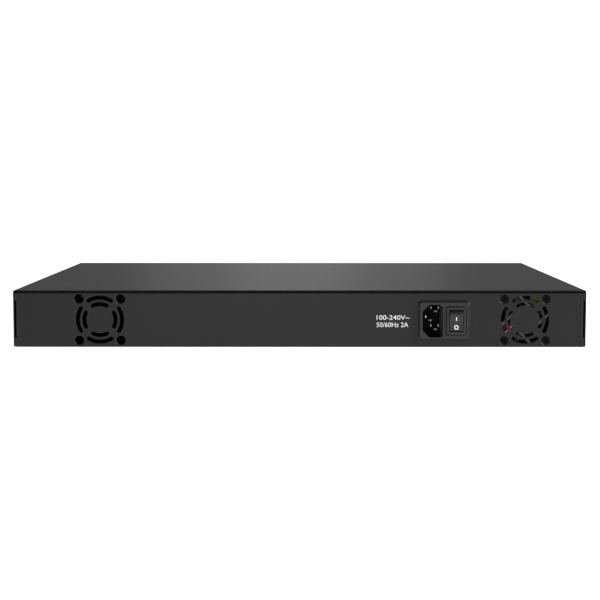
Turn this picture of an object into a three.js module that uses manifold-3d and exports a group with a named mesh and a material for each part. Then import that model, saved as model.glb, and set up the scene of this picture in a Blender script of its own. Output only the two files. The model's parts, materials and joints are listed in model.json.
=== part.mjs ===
// A 1U rackmount network switch: a bent sheet-steel base, front panel and cover around a port board,
// an open-frame power supply, one 40 mm exhaust fan, and a snap-in mains inlet with a rocker switch.
// Millimetres, +Z up. The origin is the centre of the underside.
// Ports face -Y, the mains inlet and fan face +Y.

import * as THREE from "three";
import { mergeVertices } from "three/addons/utils/BufferGeometryUtils.js";
import Module from "manifold-3d";

const wasm = await Module();
wasm.setup();

// ---- driving dimensions -------------------------------------------------------------------------

const WIDTH = 440;
const HEIGHT = 44;
const DEPTH = 330;
const SHEET = 0.8; // steel sheet
const GAP = 0.3; // running or assembly gap between neighbouring pieces
const BEND = 1.4; // outer radius of a folded edge
const BEND_STEPS = 3;

const REAR = DEPTH / 2; // outer face of the rear wall
const FRONT = -DEPTH / 2; // outer face of the front panel
const COVER_SKIRT = 0.4; // height of the cover's lower edge
const WALL_TOP = HEIGHT - SHEET - 0.8; // top of the walls, under a 0.8 mm shadow gap
const WALL_HALF = WIDTH / 2 - SHEET - GAP; // half width of the walls inside the cover
const TAB_HALF = WALL_HALF - 0.7; // outer face of the walls' side tabs
const TAB_LOW = 7.5;
const TAB_HIGH = 36;
const FLANGE = 10; // depth of the walls' top flanges
const REAR_TAB = 16;
const REAR_EDGE = 12; // depth of the full-width strip under the rear wall
const FRONT_TAB = 49;
const FLOOR_LIP = 10; // height of the floor's side lips
const FRONT_TAB_LOW = FLOOR_LIP + 1;

const SCREW_Z = 21.8; // height of the cover screws
const SCREW_YS = [-157, 0, 157];
const EAR_HOLE_YS = [-145, -125];
const EAR_HOLE_ZS = [12, 31];

const FAN = { x: -173.3, z: 21.3, size: 40, depth: 20, bore: 19, pitch: 32 };
const SPARE_VENT_X = 153.4; // the second, empty fan position
const FAN_FACE = REAR - SHEET - GAP;

const INLET = { x: -111.4, z: 20.9, width: 40.6, height: 30.4, proud: 2.5 };
const SOCKET = { x: -102.5, z: 20.45, width: 16.1, height: 25.2, depth: 16.5 };
const ROCKER = { x: -120.2, z: 20.7, tilt: 10, proud: 1.2 };

const BOARD = { bottom: 6.2, thick: 1.6 };
const BOARD_TOP = BOARD.bottom + BOARD.thick;
const MAIN_BOARD = { x0: -202, x1: 200, y0: -162, y1: -16 };
const POWER_BOARD = { x0: -208, x1: -92, y0: 28, y1: 134 };
const MAIN_STUDS = [[-190, -60], [-190, -26], [0, -26], [190, -26], [190, -100], [-60, -60]];
const POWER_STUDS = [[-202, 34], [-98, 34], [-202, 128], [-128, 128]];
const STUD_RADIUS = 2.8;
const STUD_BORE = 1.7;

const JACK = { pitch: 13.97, columns: 4, width: 58.6, height: 26.6, depth: 25, proud: 1 };
const JACK_XS = [-58, 8, 74];
const JACK_BOTTOM = BOARD_TOP + GAP;
const PORT = { width: 11.8, body: 7, latchWidth: 6.4, latch: 2.8, depth: 18 };

const CAGE = { width: 14.8, height: 9.8, length: 48, wall: 0.5, proud: 1.5 };
const CAGE_XS = [128, 150];

const LED = { x: -139, z: 21.8, columns: 7, rows: 4, stepX: 8, stepZ: 5, width: 2.4, height: 1.4 };
const RESET = { x: -186, z: 12.4, radius: 1.25, recess: 0.4 };

// ---- shapes -------------------------------------------------------------------------------------

function solidOf(geometry) {
  const bare = geometry.index ? geometry.toNonIndexed() : geometry.clone();
  bare.deleteAttribute("normal");
  bare.deleteAttribute("uv");
  const merged = mergeVertices(bare, 1e-4);
  return new wasm.Manifold(
    new wasm.Mesh({
      numProp: 3,
      vertProperties: merged.getAttribute("position").array,
      triVerts: new Uint32Array(merged.index.array),
    }),
  );
}

function geometryOf(solid) {
  const mesh = solid.getMesh();
  const position = new Float32Array(mesh.numVert * 3);
  for (let i = 0; i < mesh.numVert; i++) {
    const start = i * mesh.numProp;
    position.set(mesh.vertProperties.subarray(start, start + 3), i * 3);
  }
  return new THREE.BufferGeometry()
    .setAttribute("position", new THREE.BufferAttribute(position, 3))
    .setIndex(new THREE.BufferAttribute(mesh.triVerts, 1));
}

const join = (solids) => solids.reduce((all, next) => all.add(next));
const cut = (solid, tools) => tools.reduce((left, tool) => left.subtract(tool), solid);

function box(x0, x1, y0, y1, z0, z1) {
  const geometry = new THREE.BoxGeometry(x1 - x0, y1 - y0, z1 - z0);
  geometry.translate((x0 + x1) / 2, (y0 + y1) / 2, (z0 + z1) / 2);
  return solidOf(geometry);
}

const shapeOf = (points) => new THREE.Shape(points.map(([a, b]) => new THREE.Vector2(a, b)));

function prism(shape, depth) {
  return new THREE.ExtrudeGeometry(shape, { depth, bevelEnabled: false, curveSegments: 6 });
}

// A shape in (x, z), filled from y0 to y1.
function alongY(points, y0, y1) {
  return solidOf(prism(shapeOf(points), y1 - y0).rotateX(Math.PI / 2).translate(0, y1, 0));
}

// A shape in (y, z), filled from x0 to x1.
function alongX(points, x0, x1) {
  const turn = new THREE.Matrix4().makeBasis(
    new THREE.Vector3(0, 1, 0),
    new THREE.Vector3(0, 0, 1),
    new THREE.Vector3(1, 0, 0),
  );
  return solidOf(prism(shapeOf(points), x1 - x0).applyMatrix4(turn).translate(x0, 0, 0));
}

// A shape in (x, y), filled from z0 to z1.
function alongZ(points, z0, z1) {
  return solidOf(prism(shapeOf(points), z1 - z0).translate(0, 0, z0));
}

// A cylinder or cone between two heights on an axis; radius0 is at the lower end.
function round(axis, centre, from, to, radius0, radius1 = radius0, sides = 16) {
  const geometry = new THREE.CylinderGeometry(radius1, radius0, to - from, sides);
  geometry.rotateY(Math.PI / sides);
  geometry.translate(0, (from + to) / 2, 0);
  if (axis === "z") geometry.rotateX(Math.PI / 2);
  if (axis === "x") geometry.rotateZ(-Math.PI / 2);
  const [a, b] = centre;
  if (axis === "x") geometry.translate(0, a, b);
  if (axis === "y") geometry.translate(a, 0, b);
  if (axis === "z") geometry.translate(a, b, 0);
  return solidOf(geometry);
}

function arc(cx, cy, radius, start, end, steps) {
  const points = [];
  for (let i = 0; i <= steps; i++) {
    const angle = start + ((end - start) * i) / steps;
    points.push([cx + radius * Math.cos(angle), cy + radius * Math.sin(angle)]);
  }
  return points;
}

function rectangle(cx, cy, width, height, radius = 0, steps = 3) {
  const a = width / 2 - radius;
  const b = height / 2 - radius;
  if (radius === 0) return [[cx - a, cy - b], [cx + a, cy - b], [cx + a, cy + b], [cx - a, cy + b]];
  const corners = [[a, b], [-a, b], [-a, -b], [a, -b]];
  return corners.flatMap(([x, y], i) =>
    arc(cx + x, cy + y, radius, (i * Math.PI) / 2, ((i + 1) * Math.PI) / 2, steps),
  );
}

// A slot with round ends that follows a circle.
function arcSlot(cx, cy, radius, width, middle, halfAngle) {
  const low = middle - halfAngle;
  const high = middle + halfAngle;
  const end = width / 2;
  const at = (angle) => [cx + radius * Math.cos(angle), cy + radius * Math.sin(angle)];
  return [
    ...arc(cx, cy, radius + end, low, high, 5),
    ...arc(...at(high), end, high, high + Math.PI, 4).slice(1, -1),
    ...arc(cx, cy, radius - end, high, low, 5),
    ...arc(...at(low), end, low + Math.PI, low + 2 * Math.PI, 4).slice(1, -1),
  ];
}

// The section of a sheet folded through right angles; `outer` is its outer face, with the sheet on its
// left side when `side` is 1 and on its right side when it is -1.
function foldedSheet(outer, side) {
  const normals = outer.slice(1).map(([x, y], i) => {
    const run = Math.hypot(x - outer[i][0], y - outer[i][1]);
    return [(-side * (y - outer[i][1])) / run, (side * (x - outer[i][0])) / run];
  });
  const face = (offset) => {
    const points = [];
    outer.forEach(([x, y], i) => {
      const before = normals[i - 1] ?? normals[i];
      const after = normals[i] ?? normals[i - 1];
      if (before === after) {
        points.push([x + before[0] * offset, y + before[1] * offset]);
        return;
      }
      const centre = [x + BEND * (before[0] + after[0]), y + BEND * (before[1] + after[1])];
      const start = Math.atan2(-before[1], -before[0]);
      const turn = (side * Math.PI) / 2;
      points.push(...arc(...centre, BEND - offset, start, start + turn, BEND_STEPS));
    });
    return points;
  };
  return [...face(0), ...face(SHEET).reverse()];
}

// A round wire through a list of points.
function wire(points, radius, steps = 16, sides = 8) {
  const curve = new THREE.CatmullRomCurve3(points.map((p) => new THREE.Vector3(...p)));
  const section = shapeOf(arc(0, 0, radius, 0, 2 * Math.PI, sides).slice(0, -1));
  return new THREE.ExtrudeGeometry(section, { steps, extrudePath: curve, bevelEnabled: false });
}

// ---- materials ----------------------------------------------------------------------------------

const finish = (color, roughness, metalness) =>
  new THREE.MeshStandardMaterial({ color, roughness, metalness });

const blackPaint = finish(0x202022, 0.6, 0.2);
const blackPlastic = finish(0x1b1b1c, 0.5, 0);
const fanPlastic = finish(0x141415, 0.55, 0);
const blackScrew = finish(0x18181a, 0.4, 0.8);
const steel = finish(0xb9bbbd, 0.35, 1);
const tinnedSteel = finish(0xc4c6c8, 0.3, 1);
const aluminium = finish(0xa9abad, 0.45, 1);
const brass = finish(0xc9a34e, 0.35, 1);
const greenBoard = finish(0x14502c, 0.5, 0);
const chipBlack = finish(0x101011, 0.5, 0);
const ferrite = finish(0x2b2b2c, 0.7, 0);
const yellowTape = finish(0xd9c31c, 0.5, 0);
const capacitorSleeve = finish(0x1d2530, 0.35, 0);
const magnet = finish(0x3a3a3c, 0.6, 0.4);
const copper = finish(0xb06a3b, 0.4, 1);
const clearPlastic = finish(0xe8e8e4, 0.2, 0);
const nylon = finish(0xe9e6da, 0.5, 0);
const redWire = finish(0xe01f2b, 0.45, 0);
const blackWire = finish(0x151515, 0.45, 0);
const brownWire = finish(0x5a3218, 0.45, 0);
const blueWire = finish(0x1d4fa3, 0.45, 0);
const earthWire = finish(0x5aa02c, 0.45, 0);

const root = new THREE.Group();

function add(name, shape, material, parent = root) {
  const geometry = shape.isBufferGeometry ? shape : geometryOf(shape);
  const mesh = new THREE.Mesh(geometry, material);
  mesh.name = name;
  parent.add(mesh);
  return mesh;
}

// ---- enclosure ----------------------------------------------------------------------------------

// Radii of the countersunk holes in the rear wall: the fan's, and the empty ones.
const FAN_SINK = { face: 3.7, hole: 3 };
const SPARE_SINK = { face: 3.85, hole: 3.4 };

function sunkHole([x, z], { face, hole }) {
  const deep = face - hole;
  return join([
    round("y", [x, z], REAR - deep, REAR + 1, hole, face + 1),
    round("y", [x, z], REAR - SHEET - 1, REAR - deep + 0.01, hole),
  ]);
}

// Two rings of four arc slots, as punched over each fan position.
function ventSlots(x, z) {
  const rings = [
    { radius: 17, width: 3, halfAngle: (31 * Math.PI) / 180 },
    { radius: 12, width: 3, halfAngle: (27 * Math.PI) / 180 },
  ];
  return rings.flatMap(({ radius, width, halfAngle }) =>
    [0, 1, 2, 3].map((quarter) => {
      const slot = arcSlot(x, z, radius, width, (quarter * Math.PI) / 2, halfAngle);
      return alongY(slot, REAR - SHEET - 1, REAR + 1);
    }),
  );
}

function cornersOf(x, z, pitch) {
  const half = pitch / 2;
  return [[x - half, z - half], [x + half, z - half], [x - half, z + half], [x + half, z + half]];
}

function studs(places) {
  return places.map(([x, y]) => {
    const post = round("z", [x, y], SHEET / 2, BOARD.bottom, STUD_RADIUS, STUD_RADIUS, 6);
    return cut(post, [round("z", [x, y], SHEET, HEIGHT, STUD_BORE, STUD_BORE, 8)]);
  });
}

function baseChassis() {
  const floorFront = FRONT + SHEET + GAP;
  const floorAndWall = foldedSheet(
    [[floorFront, 0], [REAR, 0], [REAR, WALL_TOP], [REAR - FLANGE, WALL_TOP]],
    1,
  );
  const wall = foldedSheet([[REAR, BEND], [REAR, WALL_TOP], [REAR - FLANGE, WALL_TOP]], 1);
  const rearEdge = foldedSheet([[REAR - REAR_EDGE, 0], [REAR, 0], [REAR, TAB_LOW - 1]], 1);
  const floorSides = foldedSheet(
    [[-WALL_HALF, FLOOR_LIP], [-WALL_HALF, 0], [WALL_HALF, 0], [WALL_HALF, FLOOR_LIP]],
    1,
  );
  const wallTabs = foldedSheet(
    [[TAB_HALF, REAR - REAR_TAB], [TAB_HALF, REAR], [-TAB_HALF, REAR], [-TAB_HALF, REAR - REAR_TAB]],
    1,
  );
  const notch = (side) => {
    const edge = side * (TAB_HALF - BEND);
    const [x0, x1] = side > 0 ? [edge, WIDTH] : [-WIDTH, edge];
    return box(x0, x1, REAR - BEND, REAR + 1, TAB_LOW, TAB_HIGH);
  };
  const inner = WALL_HALF - BEND;
  const lipEnd = REAR - REAR_TAB - 1;
  const shell = join([
    cut(alongX(wall, -WALL_HALF, WALL_HALF), [notch(1), notch(-1)]),
    alongX(floorAndWall, -inner, inner),
    alongX(rearEdge, -WALL_HALF, WALL_HALF),
    alongY(floorSides, floorFront, lipEnd),
    alongZ(wallTabs, TAB_LOW, TAB_HIGH),
    ...studs([...MAIN_STUDS, ...POWER_STUDS]),
  ]);
  const sunkHoles = (x, sink) => cornersOf(x, FAN.z, FAN.pitch).map((place) => sunkHole(place, sink));
  const inletCut = rectangle(INLET.x, INLET.z, INLET.width - 1.8, INLET.height - 1.8, 1.5);
  const middleTab = (side) => {
    const [x0, x1] = side > 0 ? [TAB_HALF - SHEET, TAB_HALF] : [-TAB_HALF, SHEET - TAB_HALF];
    const [low, high] = side > 0 ? [x0, WALL_HALF] : [-WALL_HALF, x1];
    return join([box(x0, x1, -9, 9, 4, 30), box(low, high, -9, 9, 4, FLOOR_LIP - 1)]);
  };
  return cut(join([shell, middleTab(1), middleTab(-1)]), [
    ...sunkHoles(FAN.x, FAN_SINK),
    ...sunkHoles(SPARE_VENT_X, SPARE_SINK),
    ...ventSlots(FAN.x, FAN.z),
    ...ventSlots(SPARE_VENT_X, FAN.z),
    alongY(inletCut, REAR - 4, REAR + 1),
    ...[0, SCREW_YS[2]].map((y) => round("x", [y, SCREW_Z], -WIDTH, WIDTH, 1.8, 1.8, 10)),
  ]);
}

function frontPanel() {
  const plate = foldedSheet([[FRONT, 0], [FRONT, WALL_TOP], [FRONT + FLANGE, WALL_TOP]], -1);
  const tabs = foldedSheet(
    [[-TAB_HALF, FRONT + FRONT_TAB], [-TAB_HALF, FRONT], [TAB_HALF, FRONT], [TAB_HALF, FRONT + FRONT_TAB]],
    1,
  );
  const notch = (side) => {
    const edge = side * (TAB_HALF - BEND);
    const [x0, x1] = side > 0 ? [edge, WIDTH] : [-WIDTH, edge];
    return box(x0, x1, FRONT - 1, FRONT + BEND, FRONT_TAB_LOW, TAB_HIGH);
  };
  const shell = join([
    cut(alongX(plate, -WALL_HALF, WALL_HALF), [notch(1), notch(-1)]),
    alongZ(tabs, FRONT_TAB_LOW, TAB_HIGH),
  ]);
  const window = (x, z, width, height) =>
    box(x - width / 2, x + width / 2, FRONT - 1, FRONT + SHEET + 1, z - height / 2, z + height / 2);
  const jackZ = JACK_BOTTOM + JACK.height / 2;
  const cageZ = JACK_BOTTOM + CAGE.height / 2;
  const earHoles = EAR_HOLE_YS.flatMap((y) => EAR_HOLE_ZS.map((z) => [y, z, 2]));
  return cut(shell, [
    ...JACK_XS.map((x) => window(x, jackZ, JACK.width + 2 * GAP, JACK.height + 2 * GAP)),
    ...CAGE_XS.map((x) => window(x, cageZ, CAGE.width + 2 * GAP, CAGE.height + 2 * GAP)),
    ...ledPlaces().map(([x, z]) => window(x, z, LED.width + 2 * GAP, LED.height + 2 * GAP)),
    round("y", [RESET.x, RESET.z], FRONT - 1, FRONT + SHEET + 1, RESET.radius + 0.35, undefined, 12),
    ...[...earHoles, [SCREW_YS[0], SCREW_Z, 1.8]].map(([y, z, radius]) =>
      round("x", [y, z], -WIDTH, WIDTH, radius, radius, 10),
    ),
  ]);
}

// Rows of upright slots for the air intake in one side of the cover.
function sideVents() {
  const groups = [{ from: -92, count: 6 }, { from: 42, count: 6 }];
  return groups.flatMap(({ from, count }) =>
    Array.from({ length: count }, (_, i) => rectangle(from + i * 9, 22, 3, 20, 1.5, 2)),
  );
}

function topCover() {
  const skin = foldedSheet(
    [[-WIDTH / 2, COVER_SKIRT], [-WIDTH / 2, HEIGHT], [WIDTH / 2, HEIGHT], [WIDTH / 2, COVER_SKIRT]],
    -1,
  );
  const through = (points) => alongX(points, -WIDTH, WIDTH);
  const countersinks = SCREW_YS.flatMap((y) => [
    round("x", [y, SCREW_Z], WIDTH / 2 - SHEET, WIDTH / 2, SCREW.hole, SCREW.face, 12),
    round("x", [y, SCREW_Z], -WIDTH / 2, SHEET - WIDTH / 2, SCREW.face, SCREW.hole, 12),
  ]);
  const earHoles = EAR_HOLE_YS.flatMap((y) => EAR_HOLE_ZS.map((z) => [y, z]));
  return cut(alongY(skin, FRONT, REAR), [
    ...sideVents().map(through),
    ...earHoles.map((place) => round("x", place, -WIDTH, WIDTH, 2.2, 2.2, 8)),
    ...SCREW_YS.map((y) => round("x", [y, SCREW_Z], -WIDTH, WIDTH, SCREW.hole - 0.01, SCREW.hole - 0.01, 12)),
    ...countersinks,
  ]);
}

// The cover's countersunk holes, and the M3 screws that fill them. The head lies flush.
const SCREW = { face: 3.3, hole: 2.5, head: 3, shank: 1.45, length: 7 };

// A countersunk screw with a cross recess, standing on +X with its head's top at x = 0.
function flatScrew({ head, shank, length }) {
  const cone = head - shank;
  const recess = (width, height) => box(-0.9, 0.5, -width / 2, width / 2, -height / 2, height / 2);
  return cut(
    join([
      round("x", [0, 0], -cone, 0, shank, head, 12),
      round("x", [0, 0], -length, -cone + 0.01, shank - 0.05, shank - 0.05, 8),
    ]),
    [recess(0.6, head * 1.1), recess(head * 1.1, 0.6)],
  );
}

function addCoverScrews() {
  for (const [sideName, side] of [["left", -1], ["right", 1]]) {
    SCREW_YS.forEach((y, i) => {
      const screw = add(`cover_screw_${sideName}_${i + 1}`, flatScrew(SCREW), blackScrew);
      screw.rotation.z = side > 0 ? 0 : Math.PI;
      screw.position.set((side * WIDTH) / 2, y, SCREW_Z);
    });
  }
}

// ---- fan ----------------------------------------------------------------------------------------

const HUB = { radius: 11.2, cup: 10.4, thick: 1.6 };
const FAN_SCREW = { head: 3.2, shank: 1.85, length: 11, sunk: 0.35 };
const BLADES = 7;
const STRUT_DEPTH = 2.6;

const fanBack = FAN_FACE - FAN.depth;
const fanCentre = [FAN.x, FAN.z];

// A swirled arm from the rim of the motor base to the frame, in the fan's own (x, z) plane.
function strut(angle) {
  const inner = angle + (20 * Math.PI) / 180;
  const outer = angle - (14.5 * Math.PI) / 180;
  const from = new THREE.Vector2(Math.cos(inner), Math.sin(inner)).multiplyScalar(HUB.radius - 0.7);
  const to = new THREE.Vector2(Math.cos(outer), Math.sin(outer)).multiplyScalar(FAN.bore + 0.6);
  const across = to.clone().sub(from).normalize().rotateAround(new THREE.Vector2(), Math.PI / 2);
  const corner = (end, side) => {
    const p = end.clone().addScaledVector(across, side * 0.9);
    return [FAN.x + p.x, FAN.z + p.y];
  };
  const outline = [corner(from, -1), corner(to, -1), corner(to, 1), corner(from, 1)];
  return alongY(outline, FAN_FACE - STRUT_DEPTH, FAN_FACE);
}

function fanFrame() {
  const square = alongY(rectangle(...fanCentre, FAN.size, FAN.size, 3), fanBack, FAN_FACE);
  const duct = round("y", fanCentre, fanBack - 1, FAN_FACE + 1, FAN.bore, FAN.bore, 28);
  const motorBase = round("y", fanCentre, FAN_FACE - HUB.thick, FAN_FACE, HUB.radius, HUB.radius, 24);
  const tube = round("y", fanCentre, fanBack + 6, FAN_FACE - 1, 3.2);
  const arms = [0, 1, 2, 3].map((quarter) => strut((quarter * Math.PI) / 2));
  const ring = cut(square, [duct]);
  const body = join([ring, motorBase, tube, ...arms]);
  const screwHoles = cornersOf(...fanCentre, FAN.pitch).flatMap((place) => [
    round("y", place, fanBack - 1, FAN_FACE + 1, 2.15, 2.15, 8),
    round("y", place, FAN_FACE - 1, FAN_FACE + 0.01, 2.15, 3.15, 12),
  ]);
  const bearingSeat = round("y", fanCentre, fanBack + 5, FAN_FACE - 1.7, 2.6, 2.6, 12);
  const leadNotch = box(FAN.x + 14, FAN.x + 21, FAN_FACE - 3.2, FAN_FACE + 1, FAN.z - 12.9, FAN.z - 5.4);
  return cut(body, [...screwHoles, bearingSeat, leadNotch]);
}

// One twisted blade, standing on the hub: sections at growing radius, each a thin curved plate.
function blade() {
  const stations = [9.7, 12.5, 15.4, 18.3];
  const camber = [0, 0.7, 1, 0.7, 0];
  const points = [];
  stations.forEach((radius, i) => {
    const pitch = ((52 - 6 * i) * Math.PI) / 180;
    const chord = 9.5 + 0.8 * i;
    const side = (offset) =>
      camber.map((rise, k) => {
        const along = (k / (camber.length - 1) - 0.5) * chord;
        const up = rise * 1.1 + offset;
        const swing = (along * Math.cos(pitch) - up * Math.sin(pitch)) / radius;
        const y = along * Math.sin(pitch) + up * Math.cos(pitch);
        return [radius * Math.sin(swing), y, radius * Math.cos(swing)];
      });
    points.push(...side(0.45), ...side(-0.45).reverse());
  });
  const ring = camber.length * 2;
  const faces = [];
  for (let i = 0; i + 1 < stations.length; i++) {
    for (let k = 0; k < ring; k++) {
      const a = i * ring + k;
      const b = i * ring + ((k + 1) % ring);
      faces.push(a, b, b + ring, a, b + ring, a + ring);
    }
  }
  const last = (stations.length - 1) * ring;
  for (let k = 0; k < camber.length - 1; k++) {
    const back = ring - 1 - k;
    faces.push(k, back, k + 1, k + 1, back, back - 1);
    faces.push(last + k, last + k + 1, last + back, last + k + 1, last + back - 1, last + back);
  }
  const geometry = new THREE.BufferGeometry();
  geometry.setAttribute("position", new THREE.Float32BufferAttribute(points.flat(), 3));
  geometry.setIndex(faces);
  const made = solidOf(geometry);
  return made.volume() < 0 ? solidOf(geometry.setIndex([...faces].reverse())) : made;
}

function fanRotor() {
  const low = fanBack + 0.8;
  const high = FAN_FACE - STRUT_DEPTH - 0.8;
  const cup = cut(round("y", [0, 0], low, high, HUB.cup, HUB.cup, 24), [
    round("y", [0, 0], low + 1.4, high + 1, HUB.cup - 0.8, HUB.cup - 0.8, 24),
  ]);
  const boss = round("y", [0, 0], low + 1, low + 4, 2.4, 2.4, 12);
  const blades = Array.from({ length: BLADES }, (_, i) =>
    blade().translate([0, (low + high) / 2 - 0.4, 0]).rotate([0, (360 / BLADES) * i + 8, 0]),
  );
  const ringOfBlades = cut(join(blades), [
    round("y", [0, 0], low - 9, high + 9, HUB.cup - 0.4, HUB.cup - 0.4, 24),
    round("y", [0, 0], high, high + 9, 30, 30, 6),
    round("y", [0, 0], low - 9, low, 30, 30, 6),
  ]);
  const body = join([cup, boss, ringOfBlades]);
  return cut(body, [round("y", [0, 0], low + 0.6, low + 5, 1.3, 1.3, 12)]).translate([FAN.x, 0, FAN.z]);
}

// A tube between two heights on the fan's axis.
function sleeve(y0, y1, outer, inner, sides = 16) {
  return cut(round("y", fanCentre, y0, y1, outer, outer, sides), [
    round("y", fanCentre, y0 - 1, y1 + 1, inner, inner, sides),
  ]);
}

function fanStator() {
  const y0 = fanBack + 6.5;
  const y1 = FAN_FACE - 5;
  const poles = [0, 1].map((turn) => {
    const arm = box(-7.8, 7.8, y0, y1, -1.6, 1.6).rotate([0, 90 * turn, 0]);
    return arm.translate([FAN.x, 0, FAN.z]);
  });
  const yoke = round("y", fanCentre, y0, y1, 5, 5, 16);
  return cut(join([yoke, ...poles]), [round("y", fanCentre, y0 - 1, y1 + 1, 3.5)]);
}

function addFan() {
  add("fan_frame", fanFrame(), fanPlastic);
  add("fan_rotor", fanRotor(), fanPlastic);
  add("fan_shaft", round("y", fanCentre, fanBack + 1.7, FAN_FACE - 2, 1, 1, 12), steel);
  add("fan_magnet_ring", sleeve(fanBack + 4, FAN_FACE - 3.6, 9.3, 8.4), magnet);
  add("fan_stator", fanStator(), copper);
  add("fan_bearing", sleeve(fanBack + 7, FAN_FACE - 2, 2.3, 1.25, 16), brass);
  cornersOf(...fanCentre, FAN.pitch).forEach(([x, z], i) => {
    const screw = add(`fan_screw_${i + 1}`, flatScrew(FAN_SCREW), blackScrew);
    screw.rotation.z = Math.PI / 2;
    screw.position.set(x, REAR - FAN_SCREW.sunk, z);
  });
}

// ---- mains inlet and switch ---------------------------------------------------------------------

// The outline of a C14 socket turned on its side, with its two cut corners towards +X.
function socketOutline(grow = 0) {
  const { x, z, width, height } = SOCKET;
  const right = x - width / 2 - grow;
  const left = x + width / 2 + grow;
  const top = z + height / 2 + grow;
  const bottom = z - height / 2 - grow;
  const round3 = 2.9;
  return [
    [left, bottom + 5.2],
    [left, top - 5.2],
    [left - 5.2, top],
    ...arc(right + round3, top - round3, round3, Math.PI / 2, Math.PI, 3),
    ...arc(right + round3, bottom + round3, round3, Math.PI, 1.5 * Math.PI, 3),
    [left - 5.2, bottom],
  ];
}

const inletFace = REAR + INLET.proud;
const moduleBack = REAR - 18;
const PIN = { width: 4, height: 2, tip: inletFace - 7.5, tail: moduleBack - 7 };
const PIN_PLACES = {
  live: [SOCKET.x - 2.45, SOCKET.z + 7],
  neutral: [SOCKET.x - 2.45, SOCKET.z - 7],
  earth: [SOCKET.x + 1.55, SOCKET.z],
};

function inletHousing() {
  const rim = (inset, y0, y1) =>
    alongY(rectangle(INLET.x, INLET.z, INLET.width - inset, INLET.height - inset, 2.6), y0, y1);
  const flange = join([
    rim(0, REAR + 0.05, inletFace - 1),
    rim(0.7, REAR + 1, inletFace - 0.4),
    rim(1.6, REAR + 1, inletFace),
  ]);
  const body = alongY(
    rectangle(INLET.x, INLET.z, INLET.width - 2.4, INLET.height - 2.4, 1.2),
    moduleBack,
    REAR + 1,
  );
  const catchOn = (side) => {
    const edge = INLET.z + side * (INLET.height / 2 - 1.2);
    const ramp = [[REAR - SHEET - GAP, edge], [REAR - SHEET - GAP, edge + side * 1.1], [REAR - 6, edge]];
    return alongX(side > 0 ? ramp.reverse() : ramp, INLET.x - 6, INLET.x + 6);
  };
  const pocket = rectangle(ROCKER.x, ROCKER.z, 13.5, 19.6);
  const slots = Object.values(PIN_PLACES).map((place) =>
    alongY(rectangle(...place, PIN.width + 2 * GAP, PIN.height + 2 * GAP), moduleBack - 1, REAR),
  );
  return cut(join([flange, body, catchOn(1), catchOn(-1)]), [
    alongY(socketOutline(), inletFace - SOCKET.depth, inletFace + 1),
    alongY(pocket, moduleBack - 1, inletFace + 1),
    ...slots,
  ]);
}

// A flat contact blade with a tapered tip.
function contactPin([x, z]) {
  const shaft = alongY(rectangle(x, z, PIN.width, PIN.height), PIN.tail, PIN.tip - 1.2);
  const taper = new THREE.CylinderGeometry(0.62, 1, 1.2, 4, 1).rotateY(Math.PI / 4);
  taper.scale(PIN.width / Math.SQRT2, 1, PIN.height / Math.SQRT2).translate(x, PIN.tip - 0.6, z);
  return join([shaft, solidOf(taper)]);
}

const BEZEL = { width: 14.8, height: 21.2, openWidth: 10.9, openHeight: 16.9 };
const pivotY = inletFace - 2;
const switchBack = REAR - 13;

function switchBody() {
  const { x, z } = ROCKER;
  const bezel = alongY(
    rectangle(x, z, BEZEL.width, BEZEL.height, 0.8),
    inletFace + GAP / 2,
    inletFace + ROCKER.proud,
  );
  const can = alongY(rectangle(x, z, 12.9, 19), switchBack, inletFace + 1);
  const well = rectangle(x, z, BEZEL.openWidth, BEZEL.openHeight);
  const trunnions = round("x", [pivotY, z], x - 6.4, x + 6.4, 1.5, 1.5, 12);
  const slots = [-4, 4].map((dz) =>
    alongY(rectangle(x, z + dz, 5.4, 1.4), switchBack - 1, switchBack + 5),
  );
  return cut(join([bezel, can]), [
    alongY(well, switchBack + 2, inletFace + 4),
    cut(trunnions, [box(x + 6.2, x + 7, 150, 180, 0, 40), box(x - 7, x - 6.2, 150, 180, 0, 40)]),
    ...slots,
  ]);
}

// The rocker, drawn level about its pivot. Its two faces meet in a shallow valley.
function rockerSolid() {
  const half = [[4.4, 5.8], [2.6, 7.7], [1, 7.9], [-3, 4.5]];
  const side = [...half.map(([y, z]) => [y, -z]).reverse(), [3.3, 0], ...half];
  const paddle = alongX(side, -5.15, 5.15);
  return join([paddle, round("x", [0, 0], -6, 6, 1.2, 1.2, 12)]);
}

function addInlet() {
  add("inlet_housing", inletHousing(), blackPlastic);
  for (const [name, place] of Object.entries(PIN_PLACES)) {
    add(`inlet_pin_${name}`, contactPin(place), tinnedSteel);
  }
  add("switch_body", switchBody(), blackPlastic);
  const rocker = add("power_rocker", rockerSolid(), blackPlastic);
  rocker.position.set(ROCKER.x, pivotY, ROCKER.z);
  rocker.rotation.x = (-ROCKER.tilt * Math.PI) / 180;
  for (const [name, dz] of [["line", 4], ["load", -4]]) {
    const blade = rectangle(ROCKER.x, ROCKER.z + dz, 4.8, 0.8);
    add(`switch_terminal_${name}`, alongY(blade, switchBack - 9, switchBack + 1.4), brass);
  }
}

// ---- power supply -------------------------------------------------------------------------------

function board({ x0, x1, y0, y1 }, places) {
  return cut(
    box(x0, x1, y0, y1, BOARD.bottom + 0.05, BOARD_TOP),
    places.map(([x, y]) => round("z", [x, y], 0, HEIGHT, 1.8, 1.8, 10)),
  );
}

const TRANSFORMER = { x: -178, y: 115 };

function transformerWinding() {
  const { x, y } = TRANSFORMER;
  return alongY(rectangle(x, 23.5, 28, 25, 4), y - 10.4, y + 10.4);
}

// The ferrite core passes round the winding as a closed band.
function transformerCore() {
  const { x, y } = TRANSFORMER;
  return cut(box(x - 4, x + 4, y - 15, y + 15, JACK_BOTTOM, 39.4), [
    box(x - 5, x + 5, y - 10.7, y + 10.7, 10.7, 36.3),
  ]);
}

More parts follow.
